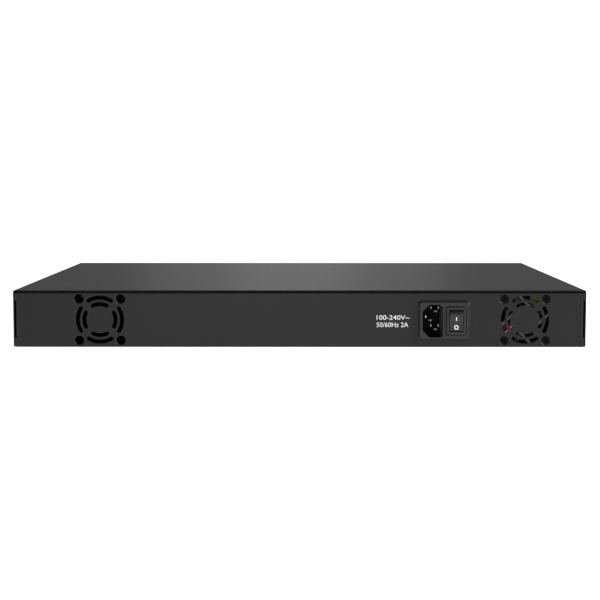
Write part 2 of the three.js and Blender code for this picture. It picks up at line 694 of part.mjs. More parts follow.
// An upright plate with a foot, as used for the power transistors.
function heatSink(x0, x1, y) {
  const section = [
    [y, JACK_BOTTOM], [y + 10, JACK_BOTTOM], [y + 10, JACK_BOTTOM + 2], [y + 2, JACK_BOTTOM + 2],
    [y + 2, 34], [y + 8, 34], [y + 8, 36], [y, 36],
  ];
  return alongX(section, x0, x1);
}

function addPowerSupply() {
  const low = JACK_BOTTOM;
  add("psu_board", board(POWER_BOARD, POWER_STUDS), greenBoard);
  add("psu_transformer_winding", transformerWinding(), yellowTape);
  add("psu_transformer_core", transformerCore(), ferrite);
  add("psu_bulk_capacitor", round("z", [-140, 104], low, 37, 10, 10, 20), capacitorSleeve);
  add("psu_output_capacitor", round("z", [-180, 50], low, 29, 6.5, 6.5, 16), capacitorSleeve);
  add("psu_primary_heatsink", heatSink(-158, -112, 76), aluminium);
  add("psu_secondary_heatsink", heatSink(-200, -166, 68), aluminium);
  const choke = cut(round("x", [112, 18.4], -118, -108, 10, 10, 20), [
    round("x", [112, 18.4], -119, -107, 4.5, 4.5, 16),
  ]);
  add("psu_line_choke", choke, copper);
  add("psu_ac_terminal", box(-132, -112, 125.5, 133, low, 18), nylon);
}

// ---- port board ---------------------------------------------------------------------------------

// The opening of one port, with its latch notch upwards when `up` is 1 and downwards when it is -1.
function portOutline(x, z, up) {
  const half = PORT.width / 2;
  const latch = PORT.latchWidth / 2;
  const base = -(PORT.body + PORT.latch) / 2;
  const outline = [
    [-half, base], [half, base], [half, base + PORT.body], [latch, base + PORT.body],
    [latch, -base], [-latch, -base], [-latch, base + PORT.body], [-half, base + PORT.body],
  ];
  const placed = outline.map(([a, b]) => [x + a, z + up * b]);
  return up > 0 ? placed : placed.reverse();
}

function jackBlock(centre) {
  const face = FRONT - JACK.proud;
  const body = box(
    centre - JACK.width / 2, centre + JACK.width / 2, face, face + JACK.depth,
    JACK_BOTTOM, JACK_BOTTOM + JACK.height,
  );
  const ports = [];
  for (let column = 0; column < JACK.columns; column++) {
    const x = centre + (column - (JACK.columns - 1) / 2) * JACK.pitch;
    for (const [row, up] of [[0.25, -1], [0.75, 1]]) {
      const z = JACK_BOTTOM + row * JACK.height;
      ports.push(alongY(portOutline(x, z, up), face - 1, face + PORT.depth));
    }
  }
  return cut(body, ports);
}

function sfpCage(centre) {
  const face = FRONT - CAGE.proud;
  const { width, height, length, wall } = CAGE;
  const low = JACK_BOTTOM;
  return cut(box(centre - width / 2, centre + width / 2, face, face + length, low, low + height), [
    box(
      centre - width / 2 + wall, centre + width / 2 - wall, face - 1, face + length - wall,
      low + wall, low + height - wall,
    ),
  ]);
}

function ledPlaces() {
  const places = [];
  for (let row = 0; row < LED.rows; row++) {
    for (let column = 0; column < LED.columns; column++) {
      const x = LED.x + (column - (LED.columns - 1) / 2) * LED.stepX;
      places.push([x, LED.z + (row - (LED.rows - 1) / 2) * LED.stepZ]);
    }
  }
  return places;
}

// One clear moulding: a plate behind the panel with a finger into each window.
function ledLightGuide() {
  const back = FRONT + 5;
  const plate = box(LED.x - 28, LED.x + 28, FRONT + 3, back, JACK_BOTTOM, LED.z + 10);
  const [halfWide, halfHigh] = [LED.width / 2, LED.height / 2];
  const fingers = ledPlaces().map(([x, z]) =>
    box(x - halfWide, x + halfWide, FRONT - 0.1, back - 0.5, z - halfHigh, z + halfHigh),
  );
  return join([plate, ...fingers]);
}

function chipHeatSink() {
  const [x, y] = [8, -92];
  const fins = Array.from({ length: 9 }, (_, i) => {
    const left = x - 20 + i * 4.75;
    return box(left, left + 2, y - 20, y + 20, 13, 24);
  });
  return join([box(x - 20, x + 20, y - 20, y + 20, 10.7, 13.5), ...fins]);
}

function addBoardScrew(name, [x, y]) {
  const screw = join([
    round("z", [x, y], BOARD_TOP + 0.1, BOARD_TOP + 2, 2.8, 2.4, 12),
    round("z", [x, y], 2, BOARD_TOP + 0.2, 1.4, 1.4, 8),
  ]);
  add(name, screw, steel);
}

function addPortBoard() {
  add("main_board", board(MAIN_BOARD, MAIN_STUDS), greenBoard);
  JACK_XS.forEach((x, i) => add(`jack_block_${i + 1}`, jackBlock(x), tinnedSteel));
  CAGE_XS.forEach((x, i) => add(`sfp_cage_${i + 1}`, sfpCage(x), tinnedSteel));
  add("switch_chip", box(-5.5, 21.5, -105.5, -78.5, BOARD_TOP + 0.1, 10.4), chipBlack);
  add("chip_heatsink", chipHeatSink(), aluminium);
  add("led_light_guide", ledLightGuide(), clearPlastic);
  add(
    "reset_button",
    round("y", [RESET.x, RESET.z], FRONT + RESET.recess, FRONT + 6.4, RESET.radius, RESET.radius, 12),
    blackPlastic,
  );
  add("reset_switch", box(RESET.x - 3, RESET.x + 3, FRONT + 7.2, FRONT + 12, JACK_BOTTOM, 16.4), chipBlack);
  add("dc_header", box(-171, -157, -30, -22, JACK_BOTTOM, 17), nylon);
  [1, 3].forEach((stud, i) => addBoardScrew(`main_board_screw_${i + 1}`, MAIN_STUDS[stud]));
  [0, 1].forEach((stud, i) => addBoardScrew(`psu_board_screw_${i + 1}`, POWER_STUDS[stud]));
}

// ---- leads --------------------------------------------------------------------------------------

const SIGNAL = 0.75; // radius of the fan and low-voltage leads
const MAINS = 1.1; // radius of the mains leads

function addLeads() {
  const face = FAN_FACE;
  const { x, z } = FAN;
  const fanLead = (shift) => [
    [x + 10.6 + shift, face - 0.95, z - 5.0 + shift],
    [x + 15.6 + shift, face - 0.95, z - 9.6 + shift],
    [x + 19.2 + shift * 0.4, face - 1.1, z - 11.2 + shift],
    [x + 22.4, face - 3.2, z - 11.6 + shift],
    [x + 24.2, face - 10, z - 11.4 + shift],
    [x + 26, face - 22, z - 9.4 + shift],
    [x + 28, face - 32, z - 6 + shift],
    [x + 28, face - 38, z - 5.6 + shift],
  ];
  add("fan_lead_red", wire(fanLead(0), SIGNAL, 15), redWire);
  add("fan_lead_black", wire(fanLead(1.8), SIGNAL, 15), blackWire);
  add("fan_plug", box(x + 24.6, x + 31.4, face - 47, face - 38.4, z - 8, z - 1.6), nylon);
  const tail = PIN.tail - 0.6;
  const liveStart = [ROCKER.x, switchBack - 9.6, ROCKER.z - 4];
  add(
    "mains_lead_live",
    wire([liveStart, [-121, 140, 15.2], [-122, 136.4, 13], [-122, 133.4, 13]], MAINS, 8),
    brownWire,
  );
  const [nx, nz] = PIN_PLACES.neutral;
  add(
    "mains_lead_neutral",
    wire(
      [[nx, tail, nz], [nx, tail - 2, nz], [-110, 136, 12.6], [-116, 135.8, 12], [-117, 134, 12]],
      MAINS,
      9,
    ),
    blueWire,
  );
  const [ex, ez] = PIN_PLACES.earth;
  add(
    "mains_lead_earth",
    wire([[ex, tail, ez], [ex, tail - 2, ez], [-94, 134, 14], [-87, 131, 5], [-84, 126, 2.2]], MAINS, 10),
    earthWire,
  );
  const dcLead = (shift) => [
    [-164 + shift, 27.6, 9],
    [-164 + shift, 18, 10],
    [-164 + shift, -4, 12],
    [-164 + shift, -21.6, 12],
  ];
  add("dc_lead_positive", wire(dcLead(-2), SIGNAL, 8), redWire);
  add("dc_lead_negative", wire(dcLead(2), SIGNAL, 8), blackWire);
}

// ---- assembly -----------------------------------------------------------------------------------

add("base_chassis", baseChassis(), blackPaint);
add("front_panel", frontPanel(), blackPaint);
add("top_cover", topCover(), blackPaint);
addCoverScrews();
addFan();
addInlet();
addPowerSupply();
addPortBoard();
addLeads();

export default root;
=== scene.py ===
"""The looks of a 1U rackmount network switch, seen from its rear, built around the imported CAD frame.

Shapes are drawn in millimetres as (vertices, faces) and turned into metres when a piece is made.
"""

import json
import math
import random

import bmesh
import bpy
from mathutils import Matrix, Vector


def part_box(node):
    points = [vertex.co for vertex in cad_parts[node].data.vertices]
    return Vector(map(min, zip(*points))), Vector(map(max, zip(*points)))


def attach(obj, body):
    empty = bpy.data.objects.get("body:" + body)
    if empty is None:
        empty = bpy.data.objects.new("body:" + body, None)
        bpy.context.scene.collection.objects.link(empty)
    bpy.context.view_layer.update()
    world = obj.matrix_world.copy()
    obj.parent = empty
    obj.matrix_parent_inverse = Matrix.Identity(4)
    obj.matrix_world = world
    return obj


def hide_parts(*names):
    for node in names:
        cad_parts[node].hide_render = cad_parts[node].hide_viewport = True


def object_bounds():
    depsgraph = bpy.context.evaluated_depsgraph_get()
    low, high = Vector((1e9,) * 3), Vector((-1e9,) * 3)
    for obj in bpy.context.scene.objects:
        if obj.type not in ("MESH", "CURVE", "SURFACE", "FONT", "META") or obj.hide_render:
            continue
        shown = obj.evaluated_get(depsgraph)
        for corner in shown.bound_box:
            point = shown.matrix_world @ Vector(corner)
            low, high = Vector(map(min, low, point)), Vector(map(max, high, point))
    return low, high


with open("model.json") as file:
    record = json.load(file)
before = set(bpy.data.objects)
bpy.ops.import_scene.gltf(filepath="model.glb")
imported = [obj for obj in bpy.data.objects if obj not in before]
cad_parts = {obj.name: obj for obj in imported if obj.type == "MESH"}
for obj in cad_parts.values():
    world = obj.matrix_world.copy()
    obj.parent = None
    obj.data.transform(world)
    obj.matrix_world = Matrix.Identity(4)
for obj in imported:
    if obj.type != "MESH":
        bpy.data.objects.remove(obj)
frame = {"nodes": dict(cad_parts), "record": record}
cad_low, cad_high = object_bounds()

MM = 0.001
random.seed(11)


def box_mm(node):
    low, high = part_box(node)
    return [c / MM for c in low], [c / MM for c in high]


def centre_mm(node):
    low, high = box_mm(node)
    return [(a + b) / 2 for a, b in zip(low, high)]


# ---- driving dimensions ----

WIDTH = (cad_high.x - cad_low.x) / MM
HEIGHT = (cad_high.z - cad_low.z) / MM
REAR = box_mm("top_cover")[1][1]
FRONT = box_mm("top_cover")[0][1]
SHEET = 0.8
BEND = 1.4
FOLD_STEPS = 9
WALL_HALF = box_mm("base_chassis")[1][0]
WALL_TOP = box_mm("base_chassis")[1][2]
TAB_HALF = WALL_HALF - 0.7
SHARP = math.radians(50)
BEVEL_ANGLE = math.radians(32)

FAN_X, _, FAN_Z = centre_mm("fan_frame")
FAN_BACK = box_mm("fan_frame")[0][1]
FAN_FACE = box_mm("fan_frame")[1][1]
FAN_PITCH = 32
SPARE_X = 153.4


# ---- outlines in a plane ----

def arc(cx, cy, radius, start, end, steps):
    points = []
    for i in range(steps + 1):
        angle = start + (end - start) * i / steps
        points.append((cx + radius * math.cos(angle), cy + radius * math.sin(angle)))
    return points


def circle(cx, cy, radius, steps=48):
    return arc(cx, cy, radius, 0, 2 * math.pi, steps)[:-1]


def rounded(cx, cy, width, height, radius=0.0, steps=6):
    a, b = width / 2 - radius, height / 2 - radius
    if radius == 0:
        return [(cx - a, cy - b), (cx + a, cy - b), (cx + a, cy + b), (cx - a, cy + b)]
    points = []
    for i, (x, y) in enumerate(((a, b), (-a, b), (-a, -b), (a, -b))):
        points += arc(cx + x, cy + y, radius, i * math.pi / 2, (i + 1) * math.pi / 2, steps)
    return points


def arc_slot(cx, cy, radius, width, middle, half):
    low, high, end = middle - half, middle + half, width / 2
    last = (cx + radius * math.cos(high), cy + radius * math.sin(high))
    first = (cx + radius * math.cos(low), cy + radius * math.sin(low))
    return [
        *arc(cx, cy, radius + end, low, high, 20),
        *arc(*last, end, high, high + math.pi, 12)[1:-1],
        *arc(cx, cy, radius - end, high, low, 20),
        *arc(*first, end, low + math.pi, low + 2 * math.pi, 12)[1:-1],
    ]


def folded(outer, side):
    """The closed section of a sheet folded through right angles, given its outer face."""
    normals = []
    for (x0, y0), (x1, y1) in zip(outer, outer[1:]):
        run = math.hypot(x1 - x0, y1 - y0)
        normals.append((-side * (y1 - y0) / run, side * (x1 - x0) / run))

    def face(offset):
        points = []
        for i, (x, y) in enumerate(outer):
            before = normals[max(i - 1, 0)]
            after = normals[min(i, len(normals) - 1)]
            if before == after:
                points.append((x + before[0] * offset, y + before[1] * offset))
                continue
            cx, cy = x + BEND * (before[0] + after[0]), y + BEND * (before[1] + after[1])
            start = math.atan2(-before[1], -before[0])
            points += arc(cx, cy, BEND - offset, start, start + side * math.pi / 2, FOLD_STEPS)
        return points

    return face(0) + face(SHEET)[::-1]


def corners_of(x, z, pitch):
    half = pitch / 2
    return [(x - half, z - half), (x + half, z - half), (x - half, z + half), (x + half, z + half)]


# ---- solids ----

PUT = {
    "x": lambda a, b, t: (t, a, b),
    "y": lambda a, b, t: (a, t, b),
    "z": lambda a, b, t: (a, b, t),
}


def loft(rings, cyclic=False):
    """A skin over rings of points, closed with end caps, or end to end when cyclic."""
    n, count = len(rings[0]), len(rings)
    verts = [tuple(p) for ring in rings for p in ring]
    faces = []
    for k in range(count if cyclic else count - 1):
        below, above = k * n, (k + 1) % count * n
        for i in range(n):
            j = (i + 1) % n
            faces.append([below + i, below + j, above + j, above + i])
    if not cyclic:
        faces += [list(range(n))[::-1], [(count - 1) * n + i for i in range(n)]]
    return verts, faces


def prism(points, axis, low, high):
    put = PUT[axis]
    return loft([[put(a, b, t) for a, b in points] for t in (low, high)])


def block(x0, x1, y0, y1, z0, z1):
    return prism([(x0, y0), (x1, y0), (x1, y1), (x0, y1)], "z", z0, z1)


def turned(profile, axis, centre=(0.0, 0.0), steps=48, cyclic=False):
    """A solid of revolution through circles of (radius, height along the axis)."""
    put = PUT[axis]
    rings = [[put(a, b, t) for a, b in circle(*centre, r, steps)] for r, t in profile]
    return loft(rings, cyclic=cyclic)


def merged(*parts):
    verts, faces = [], []
    for some_verts, some_faces in parts:
        start = len(verts)
        verts += some_verts
        faces += [[i + start for i in face] for face in some_faces]
    return verts, faces


def placed(part, matrix):
    return [tuple(matrix @ Vector(v)) for v in part[0]], part[1]


def mesh_of(part, name="part"):
    mesh = bpy.data.meshes.new(name)
    mesh.from_pydata(part[0], [], part[1])
    work = bmesh.new()
    work.from_mesh(mesh)
    bmesh.ops.recalc_face_normals(work, faces=work.faces)
    work.to_mesh(mesh)
    work.free()
    return mesh


def new_object(name, data):
    thing = bpy.data.objects.new(name, data)
    bpy.context.scene.collection.objects.link(thing)
    return thing


def scratch(part):
    return new_object("scratch", mesh_of(part))


def settled(thing):
    """The shape that an object's modifiers give, with the object thrown away."""
    graph = bpy.context.evaluated_depsgraph_get()
    mesh = bpy.data.meshes.new_from_object(thing.evaluated_get(graph))
    part = [tuple(v.co) for v in mesh.vertices], [list(p.vertices) for p in mesh.polygons]
    bpy.data.meshes.remove(mesh)
    bpy.data.objects.remove(thing)
    return part


def boolean(part, others, operation):
    target, tool = scratch(part), scratch(merged(*others))
    work = target.modifiers.new("boolean", "BOOLEAN")
    work.object = tool
    work.operation = operation
    work.solver = "MANIFOLD"
    made = settled(target)
    bpy.data.objects.remove(tool)
    return made


def cut(part, tools):
    """Takes the tools away from the part in one step; tools of one step may not overlap."""
    return boolean(part, tools, "DIFFERENCE")


def joined(first, *others):
    for other in others:
        first = boolean(first, [other], "UNION")
    return first


def softened(part, width, segments=2):
    """Rounds the sharp edges. Faces with holes are triangulated first, or the bevel would fill them."""
    thing = scratch(part)
    thing.modifiers.new("triangles", "TRIANGULATE").min_vertices = 5
    work = thing.modifiers.new("bevel", "BEVEL")
    work.width = width
    work.segments = segments
    work.limit_method = "ANGLE"
    work.angle_limit = BEVEL_ANGLE
    work.use_clamp_overlap = False
    return settled(thing)


def smooth_path(points, steps):
    """Points along a smooth curve through the given ones."""
    p = [Vector(q) for q in points]
    p = [2 * p[0] - p[1], *p, 2 * p[-1] - p[-2]]
    path = []
    for i in range(1, len(p) - 2):
        for k in range(steps):
            t = k / steps
            a, b, c, d = p[i - 1:i + 3]
            path.append(0.5 * (2 * b + (c - a) * t + (2 * a - 5 * b + 4 * c - d) * t * t
                               + (3 * b - a - 3 * c + d) * t ** 3))
    return [*path, p[-2]]


def tube(points, radius, steps=6, sides=14):
    path = smooth_path(points, steps)
    rings = []
    side = None
    for i, here in enumerate(path):
        along = (path[min(i + 1, len(path) - 1)] - path[max(i - 1, 0)]).normalized()
        side = along.orthogonal() if side is None else side - along * side.dot(along)
        side.normalize()
        up = along.cross(side)
        rings.append([
            tuple(here + radius * (math.cos(a) * side + math.sin(a) * up))
            for a in (2 * math.pi * k / sides for k in range(sides))
        ])
    return loft(rings)


def ribbon(path, thick, axis, low, high):
    """A strip of sheet that follows a path in a plane."""
    left, right = [], []
    for i, (x, y) in enumerate(path):
        x0, y0 = path[max(i - 1, 0)]
        x1, y1 = path[min(i + 1, len(path) - 1)]
        run = math.hypot(x1 - x0, y1 - y0)
        nx, ny = -(y1 - y0) / run * thick / 2, (x1 - x0) / run * thick / 2
        left.append((x + nx, y + ny))
        right.append((x - nx, y - ny))
    return prism(left + right[::-1], axis, low, high)


# ---- materials ----

def fill(node, values):
    for socket, value in values.items():
        node.inputs[socket].default_value = value


def look(name, colour, roughness, metallic=0.0, specular=0.5, grain=0.0, height=0.0, mottled=0.06,
         blotch=9.0, vary=0.05, stretch=(1, 1, 1), coat=0.0, transmission=0.0, ior=None):
    """A procedural finish: a mottled colour, uneven roughness and a fine grain in the surface.

    grain and blotch are sizes in millimetres, height is the grain's relief in millimetres.
    """
    material = bpy.data.materials.new(name)
    material.use_nodes = True
    nodes, links = material.node_tree.nodes, material.node_tree.links
    shader = nodes["Principled BSDF"]
    fill(shader, {"Metallic": metallic, "Specular IOR Level": specular, "Coat Weight": coat,
                  "Transmission Weight": transmission})
    if ior:
        fill(shader, {"IOR": ior})
    place = nodes.new("ShaderNodeTexCoord")
    mapping = nodes.new("ShaderNodeMapping")
    fill(mapping, {"Scale": stretch})
    links.new(place.outputs["Object"], mapping.inputs["Vector"])

    def noise(size, detail, rough=0.55):
        node = nodes.new("ShaderNodeTexNoise")
        fill(node, {"Scale": 1 / (size * MM), "Detail": detail, "Roughness": rough})
        links.new(mapping.outputs["Vector"], node.inputs["Vector"])
        return node

    clouds = noise(blotch, 5, 0.65)
    thin, dense = 0.3, 0.7
    ramp = nodes.new("ShaderNodeValToRGB")
    low, high = ramp.color_ramp.elements
    low.position, high.position = thin, dense
    low.color = [c * (1 - mottled) for c in colour] + [1]
    high.color = [min(c * (1 + mottled), 1) for c in colour] + [1]
    links.new(clouds.outputs["Fac"], ramp.inputs["Fac"])
    links.new(ramp.outputs["Color"], shader.inputs["Base Color"])
    spread = nodes.new("ShaderNodeMapRange")
    fill(spread, {"From Min": thin, "From Max": dense, "To Min": max(roughness - vary, 0.02),
                  "To Max": min(roughness + vary, 1)})
    links.new(clouds.outputs["Fac"], spread.inputs["Value"])
    links.new(spread.outputs["Result"], shader.inputs["Roughness"])
    if grain:
        fine = noise(grain, 3)
        bump = nodes.new("ShaderNodeBump")
        fill(bump, {"Distance": height * MM})
        links.new(fine.outputs["Fac"], bump.inputs["Height"])
        links.new(bump.outputs["Normal"], shader.inputs["Normal"])
    return material


LOOKS = {
    "black_powder_coat": look("powder_coat", (0.0085, 0.0085, 0.0093), 0.38, specular=0.25, grain=0.5,
                              height=0.05, mottled=0.16, blotch=1.6),
    "black_moulding": look("moulding", (0.008, 0.008, 0.0085), 0.42, specular=0.42, grain=0.22,
                           height=0.012, mottled=0.1, blotch=4),
    "fan_plastic": look("fan_moulding", (0.012, 0.012, 0.0125), 0.36, specular=0.65, grain=0.3,
                        height=0.008, mottled=0.1, blotch=5),
    "black_screw": look("black_zinc", (0.0025, 0.0025, 0.003), 0.26, specular=0.06, grain=0.2,
                        height=0.01, mottled=0.2, blotch=1.2),
    # painted shade: a near-black, barely reflecting finish that darkens the socket's inside where shade falls
    "socket_painted_shade": look("socket_painted_shade", (0.002, 0.002, 0.002), 0.6, specular=0.08, grain=0.3, height=0.01),
    # painted light: a paler copy of the black moulding for the socket wall that faces the light
    "socket_wall_painted_light": look("socket_wall_painted_light", (0.05, 0.05, 0.052), 0.5, specular=0.3, grain=0.3, height=0.01),
    # lit and shaded copies of the pins' tin: a darkened copy as painted shade on the blades, a lighter one as
    # painted light on the horns
    "tin_painted_shade": look("tin_painted_shade", (0.13, 0.13, 0.13), 0.34, metallic=1, grain=0.5, height=0.008),
    "tin_painted_light": look("tin_painted_light", (0.36, 0.35, 0.33), 0.34, metallic=1, grain=0.5, height=0.008),
    "steel": look("bare_steel", (0.56, 0.57, 0.58), 0.3, metallic=1, grain=0.12, height=0.005),
    "tin_plate": look("tin_plate", (0.66, 0.67, 0.68), 0.26, metallic=1, grain=0.5, height=0.008,
                      stretch=(1, 0.2, 1), mottled=0.08, blotch=3, vary=0.09),
    "aluminium": look("extruded_aluminium", (0.6, 0.61, 0.62), 0.38, metallic=1, grain=0.18,
                      height=0.012, stretch=(0.06, 1, 1), mottled=0.1),
    "brass": look("brass", (0.72, 0.5, 0.2), 0.3, metallic=1, grain=0.2, height=0.005),
    "gold": look("gold_flash", (0.95, 0.68, 0.28), 0.22, metallic=1, grain=0.2, height=0.003),
    "solder_mask_green": look("solder_mask", (0.012, 0.085, 0.035), 0.28, grain=0.9,
                              height=0.02, mottled=0.22, blotch=2.2, coat=0.3),
    "chip_black": look("moulded_epoxy", (0.013, 0.013, 0.014), 0.55, grain=0.15, height=0.01),
    "ferrite": look("ferrite", (0.022, 0.022, 0.023), 0.6, grain=0.3, height=0.03),
    "yellow_tape": look("polyester_tape", (0.6, 0.58, 0.05), 0.3, grain=1.4,
                        height=0.05, stretch=(1, 0.3, 1), mottled=0.14, blotch=5, coat=0.4),
    "capacitor_sleeve": look("shrink_sleeve", (0.012, 0.02, 0.05), 0.25, grain=1.2, height=0.02, coat=0.5),
    "magnet": look("bonded_magnet", (0.03, 0.03, 0.032), 0.5, metallic=0.3, grain=0.2, height=0.02),
    "copper_wire": look("enamelled_copper", (0.55, 0.2, 0.07), 0.32, metallic=0.9, grain=0.6, height=0.1),
    "clear_plastic": look("light_pipe", (0.75, 0.78, 0.76), 0.25, transmission=0.55, ior=1.49, grain=0.4,
                          height=0.01, mottled=0.03),
    "nylon": look("natural_nylon", (0.72, 0.68, 0.56), 0.42, grain=0.3, height=0.01),
    "wire_red": look("red_lead", (0.98, 0.07, 0.1), 0.35, grain=0.4, height=0.01),
    "wire_black": look("black_lead", (0.01, 0.01, 0.012), 0.6, specular=0.25, grain=0.4, height=0.01),
    "wire_brown": look("brown_lead", (0.09, 0.035, 0.015), 0.35, grain=0.4, height=0.01),
    "wire_blue": look("blue_lead", (0.015, 0.08, 0.4), 0.35, grain=0.4, height=0.01),
    "wire_green_yellow": look("earth_lead", (0.12, 0.4, 0.03), 0.35, grain=0.4, height=0.01),
    "print": look("silk_screen", (0.72, 0.73, 0.75), 0.5, specular=0.3, grain=0.3, height=0.004, mottled=0.05,
                  blotch=0.6),
    "chip_tan": look("ceramic_parts", (0.32, 0.22, 0.12), 0.4, grain=0.2, height=0.01, mottled=0.2, blotch=2),
}
LOOKS["insulator"] = LOOKS["chip_black"]


def piece(name, part, slot, body="enclosure", replaces=(), edge=0.0, segments=2, finish=None):
    """Makes one visible piece out of a part drawn in millimetres."""
    if edge:
        part = softened(part, edge, segments)
    mesh = mesh_of(part, name)
    mesh.transform(Matrix.Scale(MM, 4))
    mesh.polygons.foreach_set("use_smooth", [True] * len(mesh.polygons))
    mesh.set_sharp_from_angle(angle=SHARP)
    mesh.materials.append(LOOKS[finish or slot])
    thing = new_object(name, mesh)
    thing.modifiers.new("flat_faces", "WEIGHTED_NORMAL").keep_sharp = True
    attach(thing, body)
    if replaces:
        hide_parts(*replaces)
    return thing


# ---- camera, floor and lights ----

CAMERA_AT = Vector((-4.8, REAR + 1103.9, 135.4)) * MM
CAMERA_TILT = math.radians(5.12)
CAMERA_TURN = math.radians(0.227)
LENS = 86.66
WHITE = (1, 1, 1, 1)
FLOOR_GAP = 0.0003


def add_camera():
    data = bpy.data.cameras.new("camera")
    data.lens = LENS
    data.clip_start = 0.01
    data.clip_end = 100
    camera = new_object("camera", data)
    camera.location = CAMERA_AT
    camera.rotation_euler = (math.pi / 2 - CAMERA_TILT, 0, math.pi + CAMERA_TURN)
    bpy.context.scene.camera = camera


def add_floor():
    size = 6.0
    mesh = bpy.data.meshes.new("floor")
    corners = [(-size, -size, 0), (size, -size, 0), (size, size, 0), (-size, size, 0)]
    mesh.from_pydata(corners, [], [(0, 1, 2, 3)])
    material = bpy.data.materials.new("floor")
    material.use_nodes = True
    fill(material.node_tree.nodes["Principled BSDF"], {
        "Base Color": (0.6, 0.6, 0.6, 1), "Roughness": 0.9, "Specular IOR Level": 0.1,
        "Emission Color": WHITE, "Emission Strength": 1.0})
    mesh.materials.append(material)
    floor = new_object("floor", mesh)
    floor.location.z = cad_low.z - FLOOR_GAP


def add_light(name, at, aim, width, height, power):
    data = bpy.data.lights.new(name, "AREA")
    data.shape = "RECTANGLE"
    data.size = width
    data.size_y = height
    data.energy = power
    light = new_object(name, data)
    light.location = at
    light.rotation_euler = (Vector(aim) - Vector(at)).to_track_quat("-Z", "Y").to_euler()
    light.visible_camera = False


def add_world():
    world = bpy.data.worlds.new("studio")
    world.use_nodes = True
    nodes, links = world.node_tree.nodes, world.node_tree.links
    room = nodes["Background"]
    fill(room, {"Color": WHITE, "Strength": 0.25})
    seen = nodes.new("ShaderNodeBackground")
    fill(seen, {"Color": WHITE, "Strength": 1.0})
    path = nodes.new("ShaderNodeLightPath")
    mix = nodes.new("ShaderNodeMixShader")
    links.new(path.outputs["Is Camera Ray"], mix.inputs["Fac"])
    links.new(room.outputs["Background"], mix.inputs[1])
    links.new(seen.outputs["Background"], mix.inputs[2])
    links.new(mix.outputs["Shader"], nodes["World Output"].inputs["Surface"])
    bpy.context.scene.world = world


add_camera()
add_floor()
add_world()
add_light("near_camera", (0.07, 1.3, 0.14), (-0.05, 0.16, 0.03), 0.06, 0.06, 0.85)
add_light("above_camera", (0.2, 1.7, 0.95), (0.05, 0.16, 0.03), 0.3, 0.25, 1.5)
add_light("left", (1.5, 1.0, 0.6), (0.1, 0.16, 0.02), 0.5, 0.5, 2)
add_light("right", (-1.7, 0.8, 0.25), (-0.15, 0.16, 0.02), 0.5, 0.5, 9)
add_light("right_high", (-1.5, 0.6, 1.1), (-0.15, 0.16, 0.02), 0.5, 0.5, 26)
add_light("behind", (0.02, -1.8, 0.5), (0, 0, 0.02), 0.64, 0.9, 0.42)
add_light("behind_core", (0.02, -1.78, 0.5), (0, 0, 0.02), 0.26, 0.9, 0.16)
bpy.context.scene.view_settings.view_transform = "Standard"


# ---- enclosure ----

FLANGE = 10
TAB_LOW, TAB_HIGH = 7.5, 36
FLOOR_LIP = 10
REAR_TAB, REAR_EDGE, FRONT_TAB = 16, 12, 49
SCREW_Z = 21.8
SCREW_YS = (-157, 0, 157)
EAR_HOLES = [(y, z) for y in (-145, -125) for z in (12, 31)]
EDGE = 0.12
EAR_HOLE_RADIUS = 2.2
BOARD_BOTTOM = box_mm("main_board")[0][2]
STUDS = [(-190, -60), (-190, -26), (0, -26), (190, -26), (190, -100), (-60, -60),
         (-202, 34), (-98, 34), (-202, 128), (-128, 128)]


def vent_slots(x, z):
    slots = []
    for radius, half in ((17, math.radians(31)), (12, math.radians(27))):
        for quarter in range(4):
            outline = arc_slot(x, z, radius, 3, quarter * math.pi / 2, half)
            slots.append(prism(outline, "y", REAR - SHEET - 1, REAR + 1))
    return slots


def sunk_hole(x, z, face, hole):
    profile = [(hole, REAR - 3), (hole, REAR - face + hole), (face, REAR), (face + 1, REAR + 1)]
    return turned(profile, "y", (x, z))


def side_notch(side, y0, y1, low):
    edge = side * (TAB_HALF - BEND)
    return block(min(edge, side * WIDTH), max(edge, side * WIDTH), y0, y1, low, TAB_HIGH)


def middle_tab(side):
    upright = sorted((side * TAB_HALF, side * (TAB_HALF - SHEET)))
    bridge = sorted((side * (TAB_HALF - SHEET), side * WALL_HALF))
    return joined(block(*upright, -9, 9, 4, 30), block(*bridge, -9, 9, 4, FLOOR_LIP - 1))


